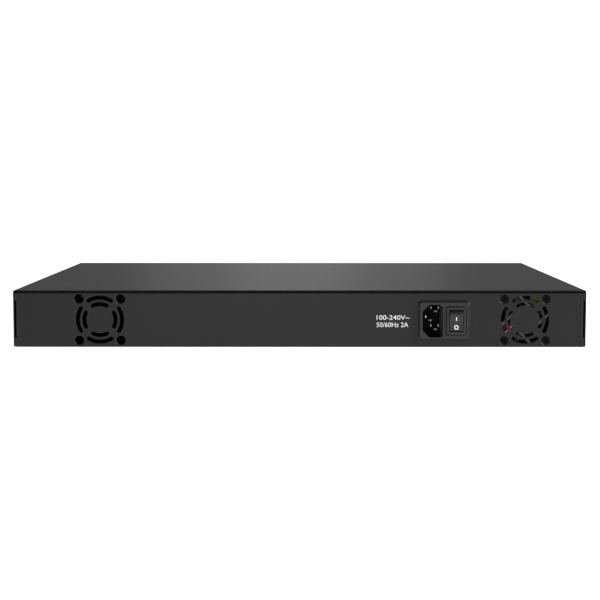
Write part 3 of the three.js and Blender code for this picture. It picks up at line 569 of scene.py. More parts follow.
def base_shell():
    inner = WALL_HALF - BEND
    floor_front = FRONT + SHEET + 0.3
    wall = [(REAR, BEND), (REAR, WALL_TOP), (REAR - FLANGE, WALL_TOP)]
    floor = [(floor_front, 0), (REAR, 0), *wall[1:]]
    lips = [(-WALL_HALF, FLOOR_LIP), (-WALL_HALF, 0), (WALL_HALF, 0), (WALL_HALF, FLOOR_LIP)]
    end = REAR - REAR_TAB
    tabs = [(TAB_HALF, end), (TAB_HALF, REAR), (-TAB_HALF, REAR), (-TAB_HALF, end)]
    edge = [(REAR - REAR_EDGE, 0), (REAR, 0), (REAR, TAB_LOW - 1)]
    notches = [side_notch(side, REAR - BEND, REAR + 1, TAB_LOW) for side in (1, -1)]
    shell = joined(
        prism(folded(lips, 1), "y", floor_front, REAR - REAR_TAB - 1),
        cut(prism(folded(floor, 1), "x", -inner, inner), notches),
        prism(folded(edge, 1), "x", -WALL_HALF, WALL_HALF),
        cut(prism(folded(wall, 1), "x", -WALL_HALF, WALL_HALF), notches),
        prism(folded(tabs, 1), "z", TAB_LOW, TAB_HIGH),
        middle_tab(1), middle_tab(-1),
        *[turned([(2.8, SHEET / 2), (2.8, BOARD_BOTTOM)], "z", place, 24) for place in STUDS],
    )
    holes = [prism(inlet_outline(1.8, 1.5), "y", REAR - 4, REAR + 1)]
    for centre, face, hole in ((FAN_X, 3.7, 3), (SPARE_X, 3.85, 3.4)):
        holes += vent_slots(centre, FAN_Z)
        holes += [sunk_hole(*place, face, hole) for place in corners_of(centre, FAN_Z, FAN_PITCH)]
    holes += [prism(circle(y, SCREW_Z, 1.8, 24), "x", -WIDTH, WIDTH) for y in SCREW_YS[1:]]
    for place in STUDS:
        holes.append(turned([(1.7, SHEET), (1.7, HEIGHT)], "z", place, 24))
        ring = [(3.1, -1), (3.5, -1), (3.5, 0.12), (3.1, 0.12)]
        holes.append(turned(ring, "z", place, 24, cyclic=True))
    shell = cut(shell, holes)
    piece("base_shell", shell, "black_powder_coat", replaces=["base_chassis"], edge=EDGE)


def cover_shell():
    (x0, y0, z0), (x1, y1, z1) = box_mm("top_cover")
    skin = prism(folded([(x0, z0), (x0, z1), (x1, z1), (x1, z0)], -1), "y", y0, y1)
    tools = []
    for low, high, face, inward in ((x0 - 1, x0 + 2, x0, 1), (x1 - 2, x1 + 1, x1, -1)):
        for start in (-92, 42):
            for i in range(6):
                tools.append(prism(rounded(start + 9 * i, 22, 3, 20, 1.5), "x", low, high))
        tools += [prism(circle(y, z, EAR_HOLE_RADIUS, 32), "x", low, high) for y, z in EAR_HOLES]
        for y in SCREW_YS:
            cone = [(2.5, face + 2 * inward), (2.5, face + 0.8 * inward), (3.4, face - 0.1 * inward),
                    (4.3, face - inward)]
            tools.append(turned(cone, "x", (y, SCREW_Z)))
    piece("cover_shell", cut(skin, tools), "black_powder_coat", replaces=["top_cover"], edge=EDGE)


def window(node, grow=0.3):
    low, high = box_mm(node)
    return block(low[0] - grow, high[0] + grow, FRONT - 1, FRONT + SHEET + 1, low[2] - grow, high[2] + grow)


LED_X, LED_Z = -139, 21.8
LED_COLUMNS, LED_ROWS = 7, 4
LED_STEP_X, LED_STEP_Z = 8, 5
RESET = centre_mm("reset_button")


def led_places():
    for row in range(LED_ROWS):
        for column in range(LED_COLUMNS):
            x = LED_X + (column - (LED_COLUMNS - 1) / 2) * LED_STEP_X
            yield row, column, x, LED_Z + (row - (LED_ROWS - 1) / 2) * LED_STEP_Z


def front_shell():
    plate = folded([(FRONT, 0), (FRONT, WALL_TOP), (FRONT + FLANGE, WALL_TOP)], -1)
    end = FRONT + FRONT_TAB
    tabs = [(-TAB_HALF, end), (-TAB_HALF, FRONT), (TAB_HALF, FRONT), (TAB_HALF, end)]
    notches = [side_notch(side, FRONT - 1, FRONT + BEND, FLOOR_LIP + 1) for side in (1, -1)]
    wide = cut(prism(plate, "x", -WALL_HALF, WALL_HALF), notches)
    shell = joined(wide, prism(folded(tabs, 1), "z", FLOOR_LIP + 1, TAB_HIGH))
    holes = [window(f"jack_block_{i}") for i in (1, 2, 3)] + [window(f"sfp_cage_{i}") for i in (1, 2)]
    for _, _, x, z in led_places():
        holes.append(prism(rounded(x, z, 2.9, 1.9, 0.4, 4), "y", FRONT - 1, FRONT + 2))
    holes.append(prism(circle(RESET[0], RESET[2], 1.6, 32), "y", FRONT - 1, FRONT + 2))
    piece("front_shell", cut(shell, holes), "black_powder_coat", replaces=["front_panel"], edge=EDGE)


def countersunk(head, shank, length):
    """A flat-headed screw with a cross recess, standing on +X with its head's top at 0."""
    cone = head - shank
    profile = [(0.4, -length), (shank * 0.6, -length + 0.6), (shank, -length + 2)]
    pitch = 0.9
    for i in range(int((length - cone - 2.4) / pitch)):
        at = -length + 2.1 + pitch * i
        profile += [(shank, at), (shank - 0.28, at + 0.4)]
    profile += [(shank, -cone), (head - 0.12, -0.12), (head - 0.3, 0)]
    body = turned(profile, "x", steps=40)
    wing, deep = head * 0.62, head * 0.5

    def slot(turn):
        half = 0.36
        outline = [(-deep, -half * 0.7), (0.4, -half * 1.15), (0.4, half * 1.15), (-deep, half * 0.7)]
        rings = []
        for z, reach in ((-wing, 0.0), (-wing * 0.45, 1.0), (wing * 0.45, 1.0), (wing, 0.0)):
            rings.append([(x if x > 0 else x * reach - 0.05 * (1 - reach), y, z) for x, y in outline])
        return placed(loft(rings), Matrix.Rotation(turn, 4, "X"))

    return cut(cut(body, [slot(0)]), [slot(math.pi / 2)])


def add_screws():
    flat = countersunk(3.0, 1.45, 7)
    for side, sign in (("left", -1), ("right", 1)):
        for i, y in enumerate(SCREW_YS, 1):
            turn = Matrix.Rotation(0 if sign > 0 else math.pi, 4, "Z") @ Matrix.Rotation(0.5 * i, 4, "X")
            where = Matrix.Translation((sign * WIDTH / 2, y, SCREW_Z))
            piece(f"cover_fastener_{side}_{i}", placed(flat, where @ turn), "black_screw",
                  replaces=[f"cover_screw_{side}_{i}"])
    wide = countersunk(3.2, 1.85, 11)
    for i, (x, z) in enumerate(corners_of(FAN_X, FAN_Z, FAN_PITCH), 1):
        turn = Matrix.Rotation(math.pi / 2, 4, "Z") @ Matrix.Rotation(0.35 + 0.9 * i, 4, "X")
        where = Matrix.Translation((x, REAR - 0.35, z))
        piece(f"fan_fastener_{i}", placed(wide, where @ turn), "black_screw", replaces=[f"fan_screw_{i}"])


# ---- fan ----

FAN_SIZE, FAN_BORE = 40, 19
FAN_MIDDLE = (FAN_X, FAN_Z)
MOTOR = 11.2
CUP = 10.4
STRUT_DEPTH = 2.6
BLADES = 7


def polar(radius, angle):
    return FAN_X + radius * math.cos(angle), FAN_Z + radius * math.sin(angle)


def strut(angle):
    inner = Vector(polar(MOTOR - 0.7, angle + math.radians(20)))
    outer = Vector(polar(FAN_BORE + 0.6, angle - math.radians(14.5)))
    across = (outer - inner).normalized().orthogonal() * 0.95
    outline = [inner - across, outer - across, outer + across, inner + across]
    return prism([tuple(p) for p in outline], "y", FAN_FACE - STRUT_DEPTH, FAN_FACE - 0.02)


def fan_housing():
    square = rounded(*FAN_MIDDLE, FAN_SIZE, FAN_SIZE, 3, 8)
    rims = [prism(square, "y", FAN_BACK, FAN_BACK + 3.6), prism(square, "y", FAN_FACE - 3.6, FAN_FACE)]
    tunnel = turned([(19.9, FAN_BACK + 3), (19.9, FAN_FACE - 3)], "y", FAN_MIDDLE, 64)
    posts = [turned([(3.9, FAN_BACK + 2), (3.9, FAN_FACE - 2)], "y", place, 32)
             for place in corners_of(*FAN_MIDDLE, FAN_PITCH)]
    solid = joined(*rims, tunnel, *posts)
    flare = ((20.2, -1), (19.8, -0.01), (19.2, 1), (FAN_BORE, 2.5))
    bore = [(r, FAN_BACK + deep) for r, deep in flare] + [(r, FAN_FACE - deep) for r, deep in flare[::-1]]
    hole = [(2.15, FAN_BACK - 1), (2.15, FAN_FACE - 1), (3.15, FAN_FACE), (4.15, FAN_FACE + 1)]
    holes = [turned(hole, "y", place, 32) for place in corners_of(*FAN_MIDDLE, FAN_PITCH)]
    notch = block(FAN_X + 14, FAN_X + 21, FAN_FACE - 3.2, FAN_FACE + 1, FAN_Z - 12.9, FAN_Z - 5.4)
    solid = cut(cut(solid, [turned(bore, "y", FAN_MIDDLE, 64)]), holes)
    plinth = [(MOTOR, FAN_FACE - 1.6), (MOTOR, FAN_FACE - 0.4), (MOTOR - 0.4, FAN_FACE)]
    base = turned(plinth, "y", FAN_MIDDLE, 64)
    post = turned([(3.2, FAN_BACK + 6), (3.2, FAN_FACE - 1)], "y", FAN_MIDDLE, 32)
    solid = joined(solid, base, post, *[strut(q * math.pi / 2) for q in range(4)])
    seat = turned([(2.6, FAN_BACK + 5), (2.6, FAN_FACE - 1.7)], "y", FAN_MIDDLE, 32)
    piece("fan_housing", cut(solid, [notch, seat]), "fan_plastic", replaces=["fan_frame"], edge=0.15)


def blade(turn):
    """A twisted, cambered blade as a loft of rounded sections from the cup to the tip."""
    middle = (FAN_BACK + 0.8 + FAN_FACE - STRUT_DEPTH - 0.8) / 2 - 0.4
    rings = []
    for k in range(7):
        share = k / 6
        radius = CUP - 0.9 + (18.3 - CUP + 0.9) * share
        pitch = math.radians(52 - 18 * share)
        chord = 9.8 + 2.2 * share
        section = []
        for upper in (True, False):
            for j in range(9):
                f = j / 8 if upper else 1 - j / 8
                thick = 0.5 * math.sqrt(max(4 * f * (1 - f), 0.02)) * (1.1 - 0.5 * share)
                rise = 4.4 * f * (1 - f) + (thick if upper else -thick)
                along = (f - 0.5) * chord
                swing = (along * math.cos(pitch) - rise * math.sin(pitch)) / radius + turn
                height = along * math.sin(pitch) + rise * math.cos(pitch)
                low, high = FAN_BACK + 0.9 - middle, FAN_FACE - STRUT_DEPTH - 0.9 - middle
                height = max(low, min(high, height))
                section.append((FAN_X + radius * math.sin(swing), middle + height,
                                FAN_Z + radius * math.cos(swing)))
        rings.append(section)
    return loft(rings)


def fan_wheel():
    low, high = FAN_BACK + 0.8, FAN_FACE - STRUT_DEPTH - 0.8
    outside = turned([(CUP - 0.8, low), (CUP, low + 0.8), (CUP, high)], "y", FAN_MIDDLE, 64)
    inside = turned([(CUP - 0.8, low + 1.4), (CUP - 0.8, high + 1)], "y", FAN_MIDDLE, 64)
    cup = cut(joined(outside, *[blade(math.radians(360 / BLADES * i - 1)) for i in range(BLADES)]), [inside])
    boss = turned([(2.4, low + 1), (2.4, low + 4)], "y", FAN_MIDDLE, 32)
    bore = turned([(1.3, low + 0.6), (1.3, low + 5)], "y", FAN_MIDDLE, 24)
    piece("fan_wheel_moulding", cut(joined(cup, boss), [bore]), "fan_plastic", body="fan_wheel",
          replaces=["fan_rotor"])


def fan_leads():
    for name, shift, colour in (("red", 0.0, "wire_red"), ("black", 1.8, "wire_black")):
        from_fan = [(7.7 + shift, 0.95, 3.6), (9.7 + shift, 0.95, 5.0), (14.7 + shift, 0.95, 9.6),
                    (19.2 + shift * 0.4, 1.1, 11.2), (22.4, 3.2, 11.6), (24.2, 10, 11.4), (26, 22, 9.4),
                    (28, 32, 6), (28, 38, 5.6)]
        route = [(FAN_X + x, FAN_FACE - y, FAN_Z + shift - z) for x, y, z in from_fan]
        piece(f"fan_wire_{name}", tube(route, 0.75), colour, replaces=[f"fan_lead_{name}"])


# ---- mains inlet and switch ----

INLET_LOW, INLET_HIGH = box_mm("inlet_housing")
INLET_X, _, INLET_Z = centre_mm("inlet_housing")
INLET_WIDTH = INLET_HIGH[0] - INLET_LOW[0]
INLET_HEIGHT = INLET_HIGH[2] - INLET_LOW[2]
INLET_FACE = INLET_HIGH[1]
INLET_BACK = INLET_LOW[1]
SOCKET_X, SOCKET_Z = -102.5, 20.45
SOCKET_WIDTH, SOCKET_HEIGHT, SOCKET_DEPTH = 16.1, 25.2, 16.5
SOCKET_FLOOR = INLET_FACE - SOCKET_DEPTH
SOCKET_DRAFT = 2.2
PINS = ("inlet_pin_live", "inlet_pin_neutral", "inlet_pin_earth")
ROCKER_X, _, ROCKER_Z = centre_mm("switch_body")
BEZEL_BACK = box_mm("switch_body")[0][1]
BEZEL_FACE = box_mm("switch_body")[1][1]
PIVOT_Y = INLET_FACE - 2
ROCKER_TILT = math.radians(-10)


def socket_ring(y, draft=0.0):
    """The socket's outline at one depth; the wall on the rounded side leans in with the depth."""
    right, left = SOCKET_X - SOCKET_WIDTH / 2 + draft, SOCKET_X + SOCKET_WIDTH / 2
    bottom, top = SOCKET_Z - SOCKET_HEIGHT / 2, SOCKET_Z + SOCKET_HEIGHT / 2
    r, c = 2.9, 5.2
    outline = [
        (left, bottom + c), (left, top - c), (left - c, top),
        *arc(right + r, top - r, r, math.pi / 2, math.pi, 8),
        *arc(right + r, bottom + r, r, math.pi, 1.5 * math.pi, 8),
        (left - c, bottom),
    ]
    return [(a, y, b) for a, b in outline]


def inlet_outline(inset, radius):
    return rounded(INLET_X, INLET_Z, INLET_WIDTH - inset, INLET_HEIGHT - inset, radius)


def pin_slots():
    """The slots in the socket's floor that the pins come through."""
    slots = []
    for node in PINS:
        (x0, _, z0), (x1, _, z1) = box_mm(node)
        slots.append(block(x0 - 0.1, x1 + 0.1, INLET_BACK - 1, SOCKET_FLOOR + 1, z0 - 0.1, z1 + 0.1))
    return slots


def inlet_moulding():
    steps = ((0, REAR + 0.05), (0, INLET_FACE - 2.3), (0.4, INLET_FACE - 2.0), (2.5, INLET_FACE - 0.3),
             (3.0, INLET_FACE))
    flange = loft([[(a, y, b) for a, b in inlet_outline(inset, 2.6 - inset / 4)] for inset, y in steps])
    solid = joined(flange, prism(inlet_outline(2.4, 1.2), "y", INLET_BACK, REAR + 1))
    for side in (1, -1):
        edge = INLET_Z + side * (INLET_HEIGHT / 2 - 1.2)
        ramp = [(REAR - 1.1, edge - side), (REAR - 1.1, edge + side * 1.1), (REAR - 6, edge),
                (REAR - 6, edge - side)]
        solid = joined(solid, prism(ramp, "x", INLET_X - 6, INLET_X + 6))
    tools = [
        loft([socket_ring(SOCKET_FLOOR, SOCKET_DRAFT), socket_ring(INLET_FACE), socket_ring(INLET_FACE + 1)]),
        prism(rounded(ROCKER_X, ROCKER_Z, 13.5, 19.6), "y", INLET_BACK - 1, INLET_FACE + 1),
    ]
    solid = cut(cut(solid, tools), pin_slots())
    groove = prism(rounded(ROCKER_X, ROCKER_Z, 16.2, 22.4, 1.3), "y", INLET_FACE - 1.4, INLET_FACE + 1)
    keep = prism(rounded(ROCKER_X, ROCKER_Z, 14.9, 21.3, 0.8), "y", INLET_FACE - 2, INLET_FACE + 2)
    solid = cut(solid, [cut(groove, [keep])])
    piece("inlet_moulding", solid, "black_moulding", replaces=["inlet_housing"], edge=0.1)


def inlet_lining():
    """A near-black sheet of painted shade over the socket's inside, and a paler sheet of painted light on the
    leaning wall of its rounded side.
    """
    bottom, draft = SOCKET_FLOOR + 0.3, SOCKET_DRAFT + 0.1
    shade_solid = loft([socket_ring(SOCKET_FLOOR, SOCKET_DRAFT), socket_ring(INLET_FACE - 0.7, SOCKET_DRAFT)])
    hollow = loft([socket_ring(bottom, draft), socket_ring(INLET_FACE, draft)])
    hollow = [(x - 0.15, y, z + 0.25) for x, y, z in hollow[0]], hollow[1]
    painted_shade_sheet = cut(cut(shade_solid, [hollow]), pin_slots())
    # a near-black sheet laid into the socket as painted shade
    piece("inlet_lining", painted_shade_sheet, "black_moulding", finish="socket_painted_shade")
    top = SOCKET_FLOOR + (INLET_FACE - 0.3 - SOCKET_FLOOR)
    void = loft([socket_ring(bottom, SOCKET_DRAFT), socket_ring(top, SOCKET_DRAFT * 0.3 / SOCKET_DEPTH)])
    wider = [(x + 0.1, y - 1 if y < SOCKET_FLOOR + 1 else y + 1, z) for x, y, z in void[0]], void[1]
    # a thin paler sheet over the rounded-side wall, painted light where that wall is lit
    piece("inlet_draft_wall_painted_light", cut(void, [wider]), "black_moulding", finish="socket_wall_painted_light")


def contact_blades():
    """Flat pins with bevelled tips, and the upright horns of their roots: two each, one for the earth pin.
    The blades wear a darkened copy of the tin as painted shade, the live and neutral horns a lighter copy as
    painted light.
    """
    for node in PINS:
        (x0, y0, z0), (x1, y1, z1) = box_mm(node)
        x, _, z = centre_mm(node)

        def section(inset, y):
            return [(a, y, b) for a, b in rounded(x, z, x1 - x0 - 2 * inset, z1 - z0 - inset, 0.12, 2)]

        steps = ((0.0, y0), (0.0, y1 - 1.5), (0.15, y1 - 1.2), (0.7, y1 - 0.1), (0.8, y1))
        blade = loft([section(inset, y) for inset, y in steps])
        # the blades take the darkened tin, painted shade
        piece(node + "_blade", blade, "tin_plate", replaces=[node], edge=0.1, finish="tin_painted_shade")
        earth = node == "inlet_pin_earth"
        horns = [block(a - 0.45, a + 0.45, SOCKET_FLOOR + 0.25, SOCKET_FLOOR + 1, z + 1.0, z + 2.8)
                 for a in (x + 2.85, x - 2.85)[:1 if earth else 2]]
        # the live and neutral horns take a lighter copy of the tin, painted light; the earth horn keeps the
        # plain tin
        finish = "tin_plate" if earth else "tin_painted_light"
        piece(node + "_root", merged(*horns), "tin_plate", edge=0.1, finish=finish)


def switch_bezel():
    x, z = ROCKER_X, ROCKER_Z

    def ring(inset, y):
        return [(a, y, b) for a, b in rounded(x, z, 14.8 - inset, 21.2 - inset, 0.9)]

    rim = loft([ring(0, INLET_FACE + 0.12), ring(0, BEZEL_FACE - 0.45), ring(0.35, BEZEL_FACE - 0.12),
                ring(0.8, BEZEL_FACE)])
    can = prism(rounded(x, z, 12.9, 19), "y", BEZEL_BACK, INLET_FACE + 0.9)
    well = prism(rounded(x, z, 10.9, 16.9, 0.3, 3), "y", BEZEL_BACK + 2, INLET_FACE + 4)
    holes = [turned([(1.5, x - 6.2), (1.5, x + 6.2)], "x", (PIVOT_Y, z), 24)]
    for dz in (-4, 4):
        holes.append(block(x - 2.7, x + 2.7, BEZEL_BACK - 1, BEZEL_BACK + 3, z + dz - 0.7, z + dz + 0.7))
    solid = cut(cut(joined(rim, can), [well]), holes)
    piece("switch_bezel", solid, "black_moulding", replaces=["switch_body"], edge=0.1)


def rocker_face(t):
    """The rocker's front, as its distance from the pivot at height t along it."""
    return 3.3 + 1.1 * min(abs(t) / 5.8, 1) ** 1.25


def rocker():
    front = [(rocker_face(5.8 * k / 12), 5.8 * k / 12) for k in range(-12, 13)]
    top = [(3.9, 6.7), (3.1, 7.45), (2.1, 7.85), (1, 7.9), (-3, 4.5)]
    heel = [(-3, -4.5), (1, -7.9), (3.2, -7.85), (3.9, -7.4), (4.2, -6.6)]
    paddle = prism([*heel, *front, *top], "x", -5.15, 5.15)
    pin = turned([(1.2, -6), (1.2, 6)], "x", steps=24)
    pose = Matrix.Translation((ROCKER_X, PIVOT_Y, ROCKER_Z)) @ Matrix.Rotation(ROCKER_TILT, 4, "X")
    solid = joined(softened(paddle, 0.25, 3), pin)
    piece("rocker_paddle", placed(solid, pose), "black_moulding", body="rocker", replaces=["power_rocker"])
    bar_z, ring_z = 2.3, -4.3
    bar = prism(rounded(0, bar_z, 0.8, 2.9, 0.2, 3), "y", rocker_face(bar_z) - 0.3, rocker_face(bar_z) + 0.06)
    bar = [(x, rocker_face(z) + (0.05 if y > rocker_face(bar_z) else -0.25), z) for x, y, z in bar[0]], bar[1]
    rings = []
    for radius, lift in ((1.75, -0.25), (1.75, 0.05), (1.0, 0.05), (1.0, -0.25)):
        rings.append([(a, rocker_face(b) + lift, b) for a, b in circle(0, ring_z, radius, 40)])
    marks = merged(bar, loft(rings, cyclic=True))
    piece("rocker_marks", placed(marks, pose), "black_moulding", body="rocker", finish="print")


# ---- power supply ----

def transformer():
    low, high = box_mm("psu_transformer_winding")
    x, _, z = centre_mm("psu_transformer_winding")
    width, height = high[0] - low[0], high[2] - low[2]
    rings = []
    insets = ((0, 1.2), (0.03, 0.25), (0.06, 0.0), (0.3, 0.12), (0.32, 0.3), (0.34, 0.12), (0.62, 0.0),
              (0.64, 0.2), (0.66, 0.05), (0.94, 0.0), (0.97, 0.25), (1, 1.2))
    for share, inset in insets:
        y = low[1] + (high[1] - low[1]) * share
        rings.append([(a, y, b) for a, b in rounded(x, z, width - 2 * inset, height - 2 * inset, 4, 8)])
    piece("transformer_tape", loft(rings), "yellow_tape", replaces=["psu_transformer_winding"])


def capacitor(node, name):
    low, high = box_mm(node)
    x, y, _ = centre_mm(node)
    radius, top, bottom = (high[0] - low[0]) / 2, high[2], low[2]
    groove = radius - 0.5
    profile = [(radius - 0.8, bottom), (radius, bottom + 0.7), (radius, bottom + 2.6), (groove, bottom + 3.1),
               (groove, bottom + 3.5), (radius, bottom + 4), (radius, top - 0.7), (radius - 0.6, top - 0.1),
               (radius - 1.3, top - 0.1)]
    piece(name + "_sleeve", turned(profile, "z", (x, y), 56), "capacitor_sleeve", replaces=[node])
    lid = turned([(radius - 1.4, top - 1), (radius - 1.4, top - 0.3)], "z", (x, y), 48)
    reach = radius - 2.6
    scores = [block(x - reach, x + reach, y - 0.15, y + 0.15, top - 0.45, top + 0.2),
              block(x - 0.15, x + 0.15, y - reach, y + reach, top - 0.45, top + 0.2)]
    piece(name + "_vent", cut(cut(lid, scores[:1]), scores[1:]), "capacitor_sleeve", finish="aluminium")


def leads():
    tail = box_mm("inlet_pin_live")[0][1] - 0.6
    live = centre_mm("switch_terminal_load")
    end = box_mm("switch_terminal_load")[0][1] - 0.6

    def from_pin(node, *rest):
        x, _, z = centre_mm(node)
        return [(x, tail, z), (x, tail - 2, z), *rest]

    live_route = [(live[0], end, live[2]), (-121, 140, 15.2), (-122, 136.4, 13), (-122, 133.4, 13)]
    neutral_route = from_pin("inlet_pin_neutral", (-110, 136, 12.6), (-116, 135.8, 12), (-117, 134, 12))
    earth_route = from_pin("inlet_pin_earth", (-94, 134, 14), (-87, 131, 5), (-84, 126, 2.2))
    routes = {
        "mains_lead_live": (live_route, "wire_brown", 1.1),
        "mains_lead_neutral": (neutral_route, "wire_blue", 1.1),
        "mains_lead_earth": (earth_route, "wire_green_yellow", 1.1),
    }
    for node, x, colour in (("dc_lead_positive", -166, "wire_red"), ("dc_lead_negative", -162, "wire_black")):
        routes[node] = ([(x, 27.6, 9), (x, 18, 10), (x, -4, 12), (x, -21.6, 12)], colour, 0.75)
    for node, (route, colour, radius) in routes.items():
        piece(node + "_wire", tube(route, radius), colour, replaces=[node])


# ---- ports ----

PORT_PITCH = 13.97
PORT_WIDTH, PORT_BODY, LATCH_WIDTH, LATCH, PORT_DEPTH = 11.8, 7.0, 6.4, 2.8, 15
CONTACT_WALL, CONTACT_PITCH = 4.9, 1.02


def port_outline(x, z, up, grow=0.0):
    half, latch, base = PORT_WIDTH / 2 + grow, LATCH_WIDTH / 2 + grow, -(PORT_BODY + LATCH) / 2
    shoulder = base + PORT_BODY + grow
    outline = [(-half, base - grow), (half, base - grow), (half, shoulder), (latch, shoulder),
               (latch, -base + grow), (-latch, -base + grow), (-latch, shoulder), (-half, shoulder)]
    placed_outline = [(x + a, z + up * b) for a, b in outline]
    return placed_outline if up > 0 else placed_outline[::-1]


def ports_of(node):
    """The centre of each port of a block, and which way its latch points."""
    low, high = box_mm(node)
    for column in range(4):
        x = (low[0] + high[0]) / 2 + (column - 1.5) * PORT_PITCH
        for share, up in ((0.25, -1), (0.75, 1)):
            yield x, low[2] + share * (high[2] - low[2]), up


def shrunk_box(node, inset):
    (x0, y0, z0), (x1, y1, z1) = box_mm(node)
    return block(x0 + inset, x1 - inset, y0 + inset, y1 - inset, z0 + inset, z1 - inset)


def jack_block(index):
    node = f"jack_block_{index}"
    y0 = box_mm(node)[0][1]
    sheet = 0.3
    shield = cut(shrunk_box(node, 0), [shrunk_box(node, sheet)])
    frames = [prism(port_outline(x, z, up, 0.25), "y", y0 - 1, y0 + 1) for x, z, up in ports_of(node)]
    piece(f"jack_shield_{index}", cut(shield, frames), "tin_plate", replaces=[node], edge=0.06, segments=1)
    inside = shrunk_box(node, sheet + 0.02)
    sockets = [prism(port_outline(x, z, up), "y", y0 - 1, y0 + PORT_DEPTH) for x, z, up in ports_of(node)]
    combs = []
    for x, z, up in ports_of(node):
        for k in range(8):
            at = x + (k - 3.5) * CONTACT_PITCH
            wall = z - up * CONTACT_WALL
            combs.append(block(at - 0.32, at + 0.32, y0 + 1.2, y0 + 4.4, min(wall, wall - up * 0.5),
                               max(wall, wall - up * 0.5)))
    body = cut(cut(inside, sockets), combs)
    piece(f"jack_insulator_{index}", body, "chip_black", finish="insulator")
    wires = []
    for x, z, up in ports_of(node):
        wall = z - up * CONTACT_WALL
        bends = ((1.4, -0.25), (2.2, -0.05), (3.2, 0.35), (7, 1.9), (11, 3.3), (PORT_DEPTH + 0.4, 4.1))
        path = [(y0 + deep, wall + up * rise) for deep, rise in bends]
        for k in range(8):
            at = x + (k - 3.5) * CONTACT_PITCH
            wires.append(ribbon(path, 0.28, "x", at - 0.22, at + 0.22))
    piece(f"jack_contacts_{index}", merged(*wires), "brass", finish="gold")


def sfp_cage(index):
    node = f"sfp_cage_{index}"
    (x0, y0, z0), (x1, y1, z1) = box_mm(node)
    x = (x0 + x1) / 2
    wall = 0.4
    shell = cut(block(x0, x1, y0, y1, z0, z1), [
        block(x0 + wall, x1 - wall, y0 - 1, y1 - wall, z0 + wall, z1 - wall)])
    vents = [prism(circle(x - 4 + 4 * column, y0 + 14 + 7 * row, 1.2, 24), "z", z1 - 1, z1 + 1)
             for row in range(4) for column in range(3)]
    latch = prism([(x - 1.3, y0 + 4.2), (x + 1.3, y0 + 4.2), (x, y0 + 6.6)], "z", z0 - 1, z0 + 1)
    slits = []
    for k in range(5):
        at = x0 + 2.2 + (x1 - x0 - 4.4) * k / 4
        slits.append(block(at - 0.18, at + 0.18, y0 + 3, y0 + 9, z1 - 1, z1 + 1))
    for k in range(3):
        at = z0 + 2.4 + (z1 - z0 - 4.8) * k / 2
        for side in (x0, x1):
            slits.append(block(side - 1, side + 1, y0 + 3, y0 + 9, at - 0.18, at + 0.18))
    shell = cut(shell, [*vents, latch, *slits])
    piece(f"module_cage_{index}", shell, "tin_plate", replaces=[node], edge=0.08)
    slot_z = (z0 + z1) / 2 - 0.4
    socket = cut(block(x - 6, x + 6, y1 - 11, y1 - 1.2, z0 + 0.9, z1 - 1.4), [
        block(x - 5, x + 5, y1 - 12, y1 - 4, slot_z - 0.9, slot_z + 0.9)])
    piece(f"module_socket_{index}", socket, "chip_black", edge=0.15)
    pads = []
    for k in range(10):
        at = x - 3.6 + 0.8 * k
        for bottom, top in ((0.62, 0.88), (-0.88, -0.62)):
            pads.append(block(at - 0.2, at + 0.2, y1 - 10.4, y1 - 4.2, slot_z + bottom, slot_z + top))
    piece(f"module_contacts_{index}", merged(*pads), "brass", finish="gold")


def light_guide():
    low, high = box_mm("led_light_guide")
    back = FRONT + 5
    plate = block(low[0], high[0], FRONT + 3, back, low[2], high[2])
    parts = [plate]
    for _, _, x, z in led_places():
        outline = rounded(x, z, 2.4, 1.4, 0.3, 4)
        rings = [[(a, y, b) for a, b in outline] for y in (back - 0.5, FRONT + 0.12)]
        crown = [(x + (a - x) * 0.82, FRONT - 0.08, z + (b - z) * 0.78) for a, b in outline]
        parts.append(loft([*rings, crown]))
    piece("light_guide", joined(parts[0], merged(*parts[1:])), "clear_plastic", replaces=["led_light_guide"])


def reset_button():
    low, high = box_mm("reset_button")
    radius = (high[0] - low[0]) / 2
    face = low[1]
    profile = [(radius - 0.35, face), (radius - 0.08, face + 0.25), (radius, face + 0.6), (radius, high[1])]
    cap = turned(profile, "y", (RESET[0], RESET[2]), 40)
    piece("reset_plunger_cap", cap, "black_moulding", body="reset_plunger", replaces=["reset_button"])


# ---- boards ----

def scattered(board, count, size, keep_clear, deep=0.9):
    (x0, y0, _), (x1, y1, top) = box_mm(board)
    taken = [box_mm(node) for node in keep_clear]
    parts = []
    while len(parts) < count:
        w, d = random.choice(size)
        if random.random() < 0.5:
            w, d = d, w
        x, y = random.uniform(x0 + 4, x1 - 4), random.uniform(y0 + 4, y1 - 4)
        clear = all(x + w < low[0] - 1 or x - w > high[0] + 1 or y + d < low[1] - 1 or y - d > high[1] + 1
                    for low, high in taken)
        if clear:
            taken.append(((x - w, y - d, 0), (x + w, y + d, 0)))
            lid = top + random.uniform(0.5, deep)
            parts.append(block(x - w / 2, x + w / 2, y - d / 2, y + d / 2, top - 0.02, lid))
    return merged(*parts)


def nodes_named(*starts):
    nodes = [entry["node"] for entry in frame["record"]["subparts"]]
    return [node for node in nodes if node.startswith(starts)]


def board_parts():
    on_main = nodes_named("jack_block_", "sfp_cage_", "chip_heatsink", "led_light_guide", "reset_switch",
                          "dc_header", "main_board_screw_")
    on_psu = [node for node in nodes_named("psu_") if node != "psu_board"]
    chips = scattered("main_board", 26, ((5, 6), (9, 9), (4, 4)), on_main, 1.4)
    piece("main_board_chips", chips, "chip_black", edge=0.1)
    ceramics = scattered("main_board", 150, ((1.6, 0.8), (2, 1.2)), on_main)
    piece("main_board_ceramics", ceramics, "chip_black", finish="chip_tan")
    chips = scattered("psu_board", 12, ((4, 5), (6, 4)), on_psu, 1.6)
    piece("psu_board_chips", chips, "chip_black", edge=0.1)
    ceramics = scattered("psu_board", 40, ((2, 1.2), (3.2, 1.6)), on_psu)
    piece("psu_board_ceramics", ceramics, "chip_black", finish="chip_tan")


# ---- printing ----

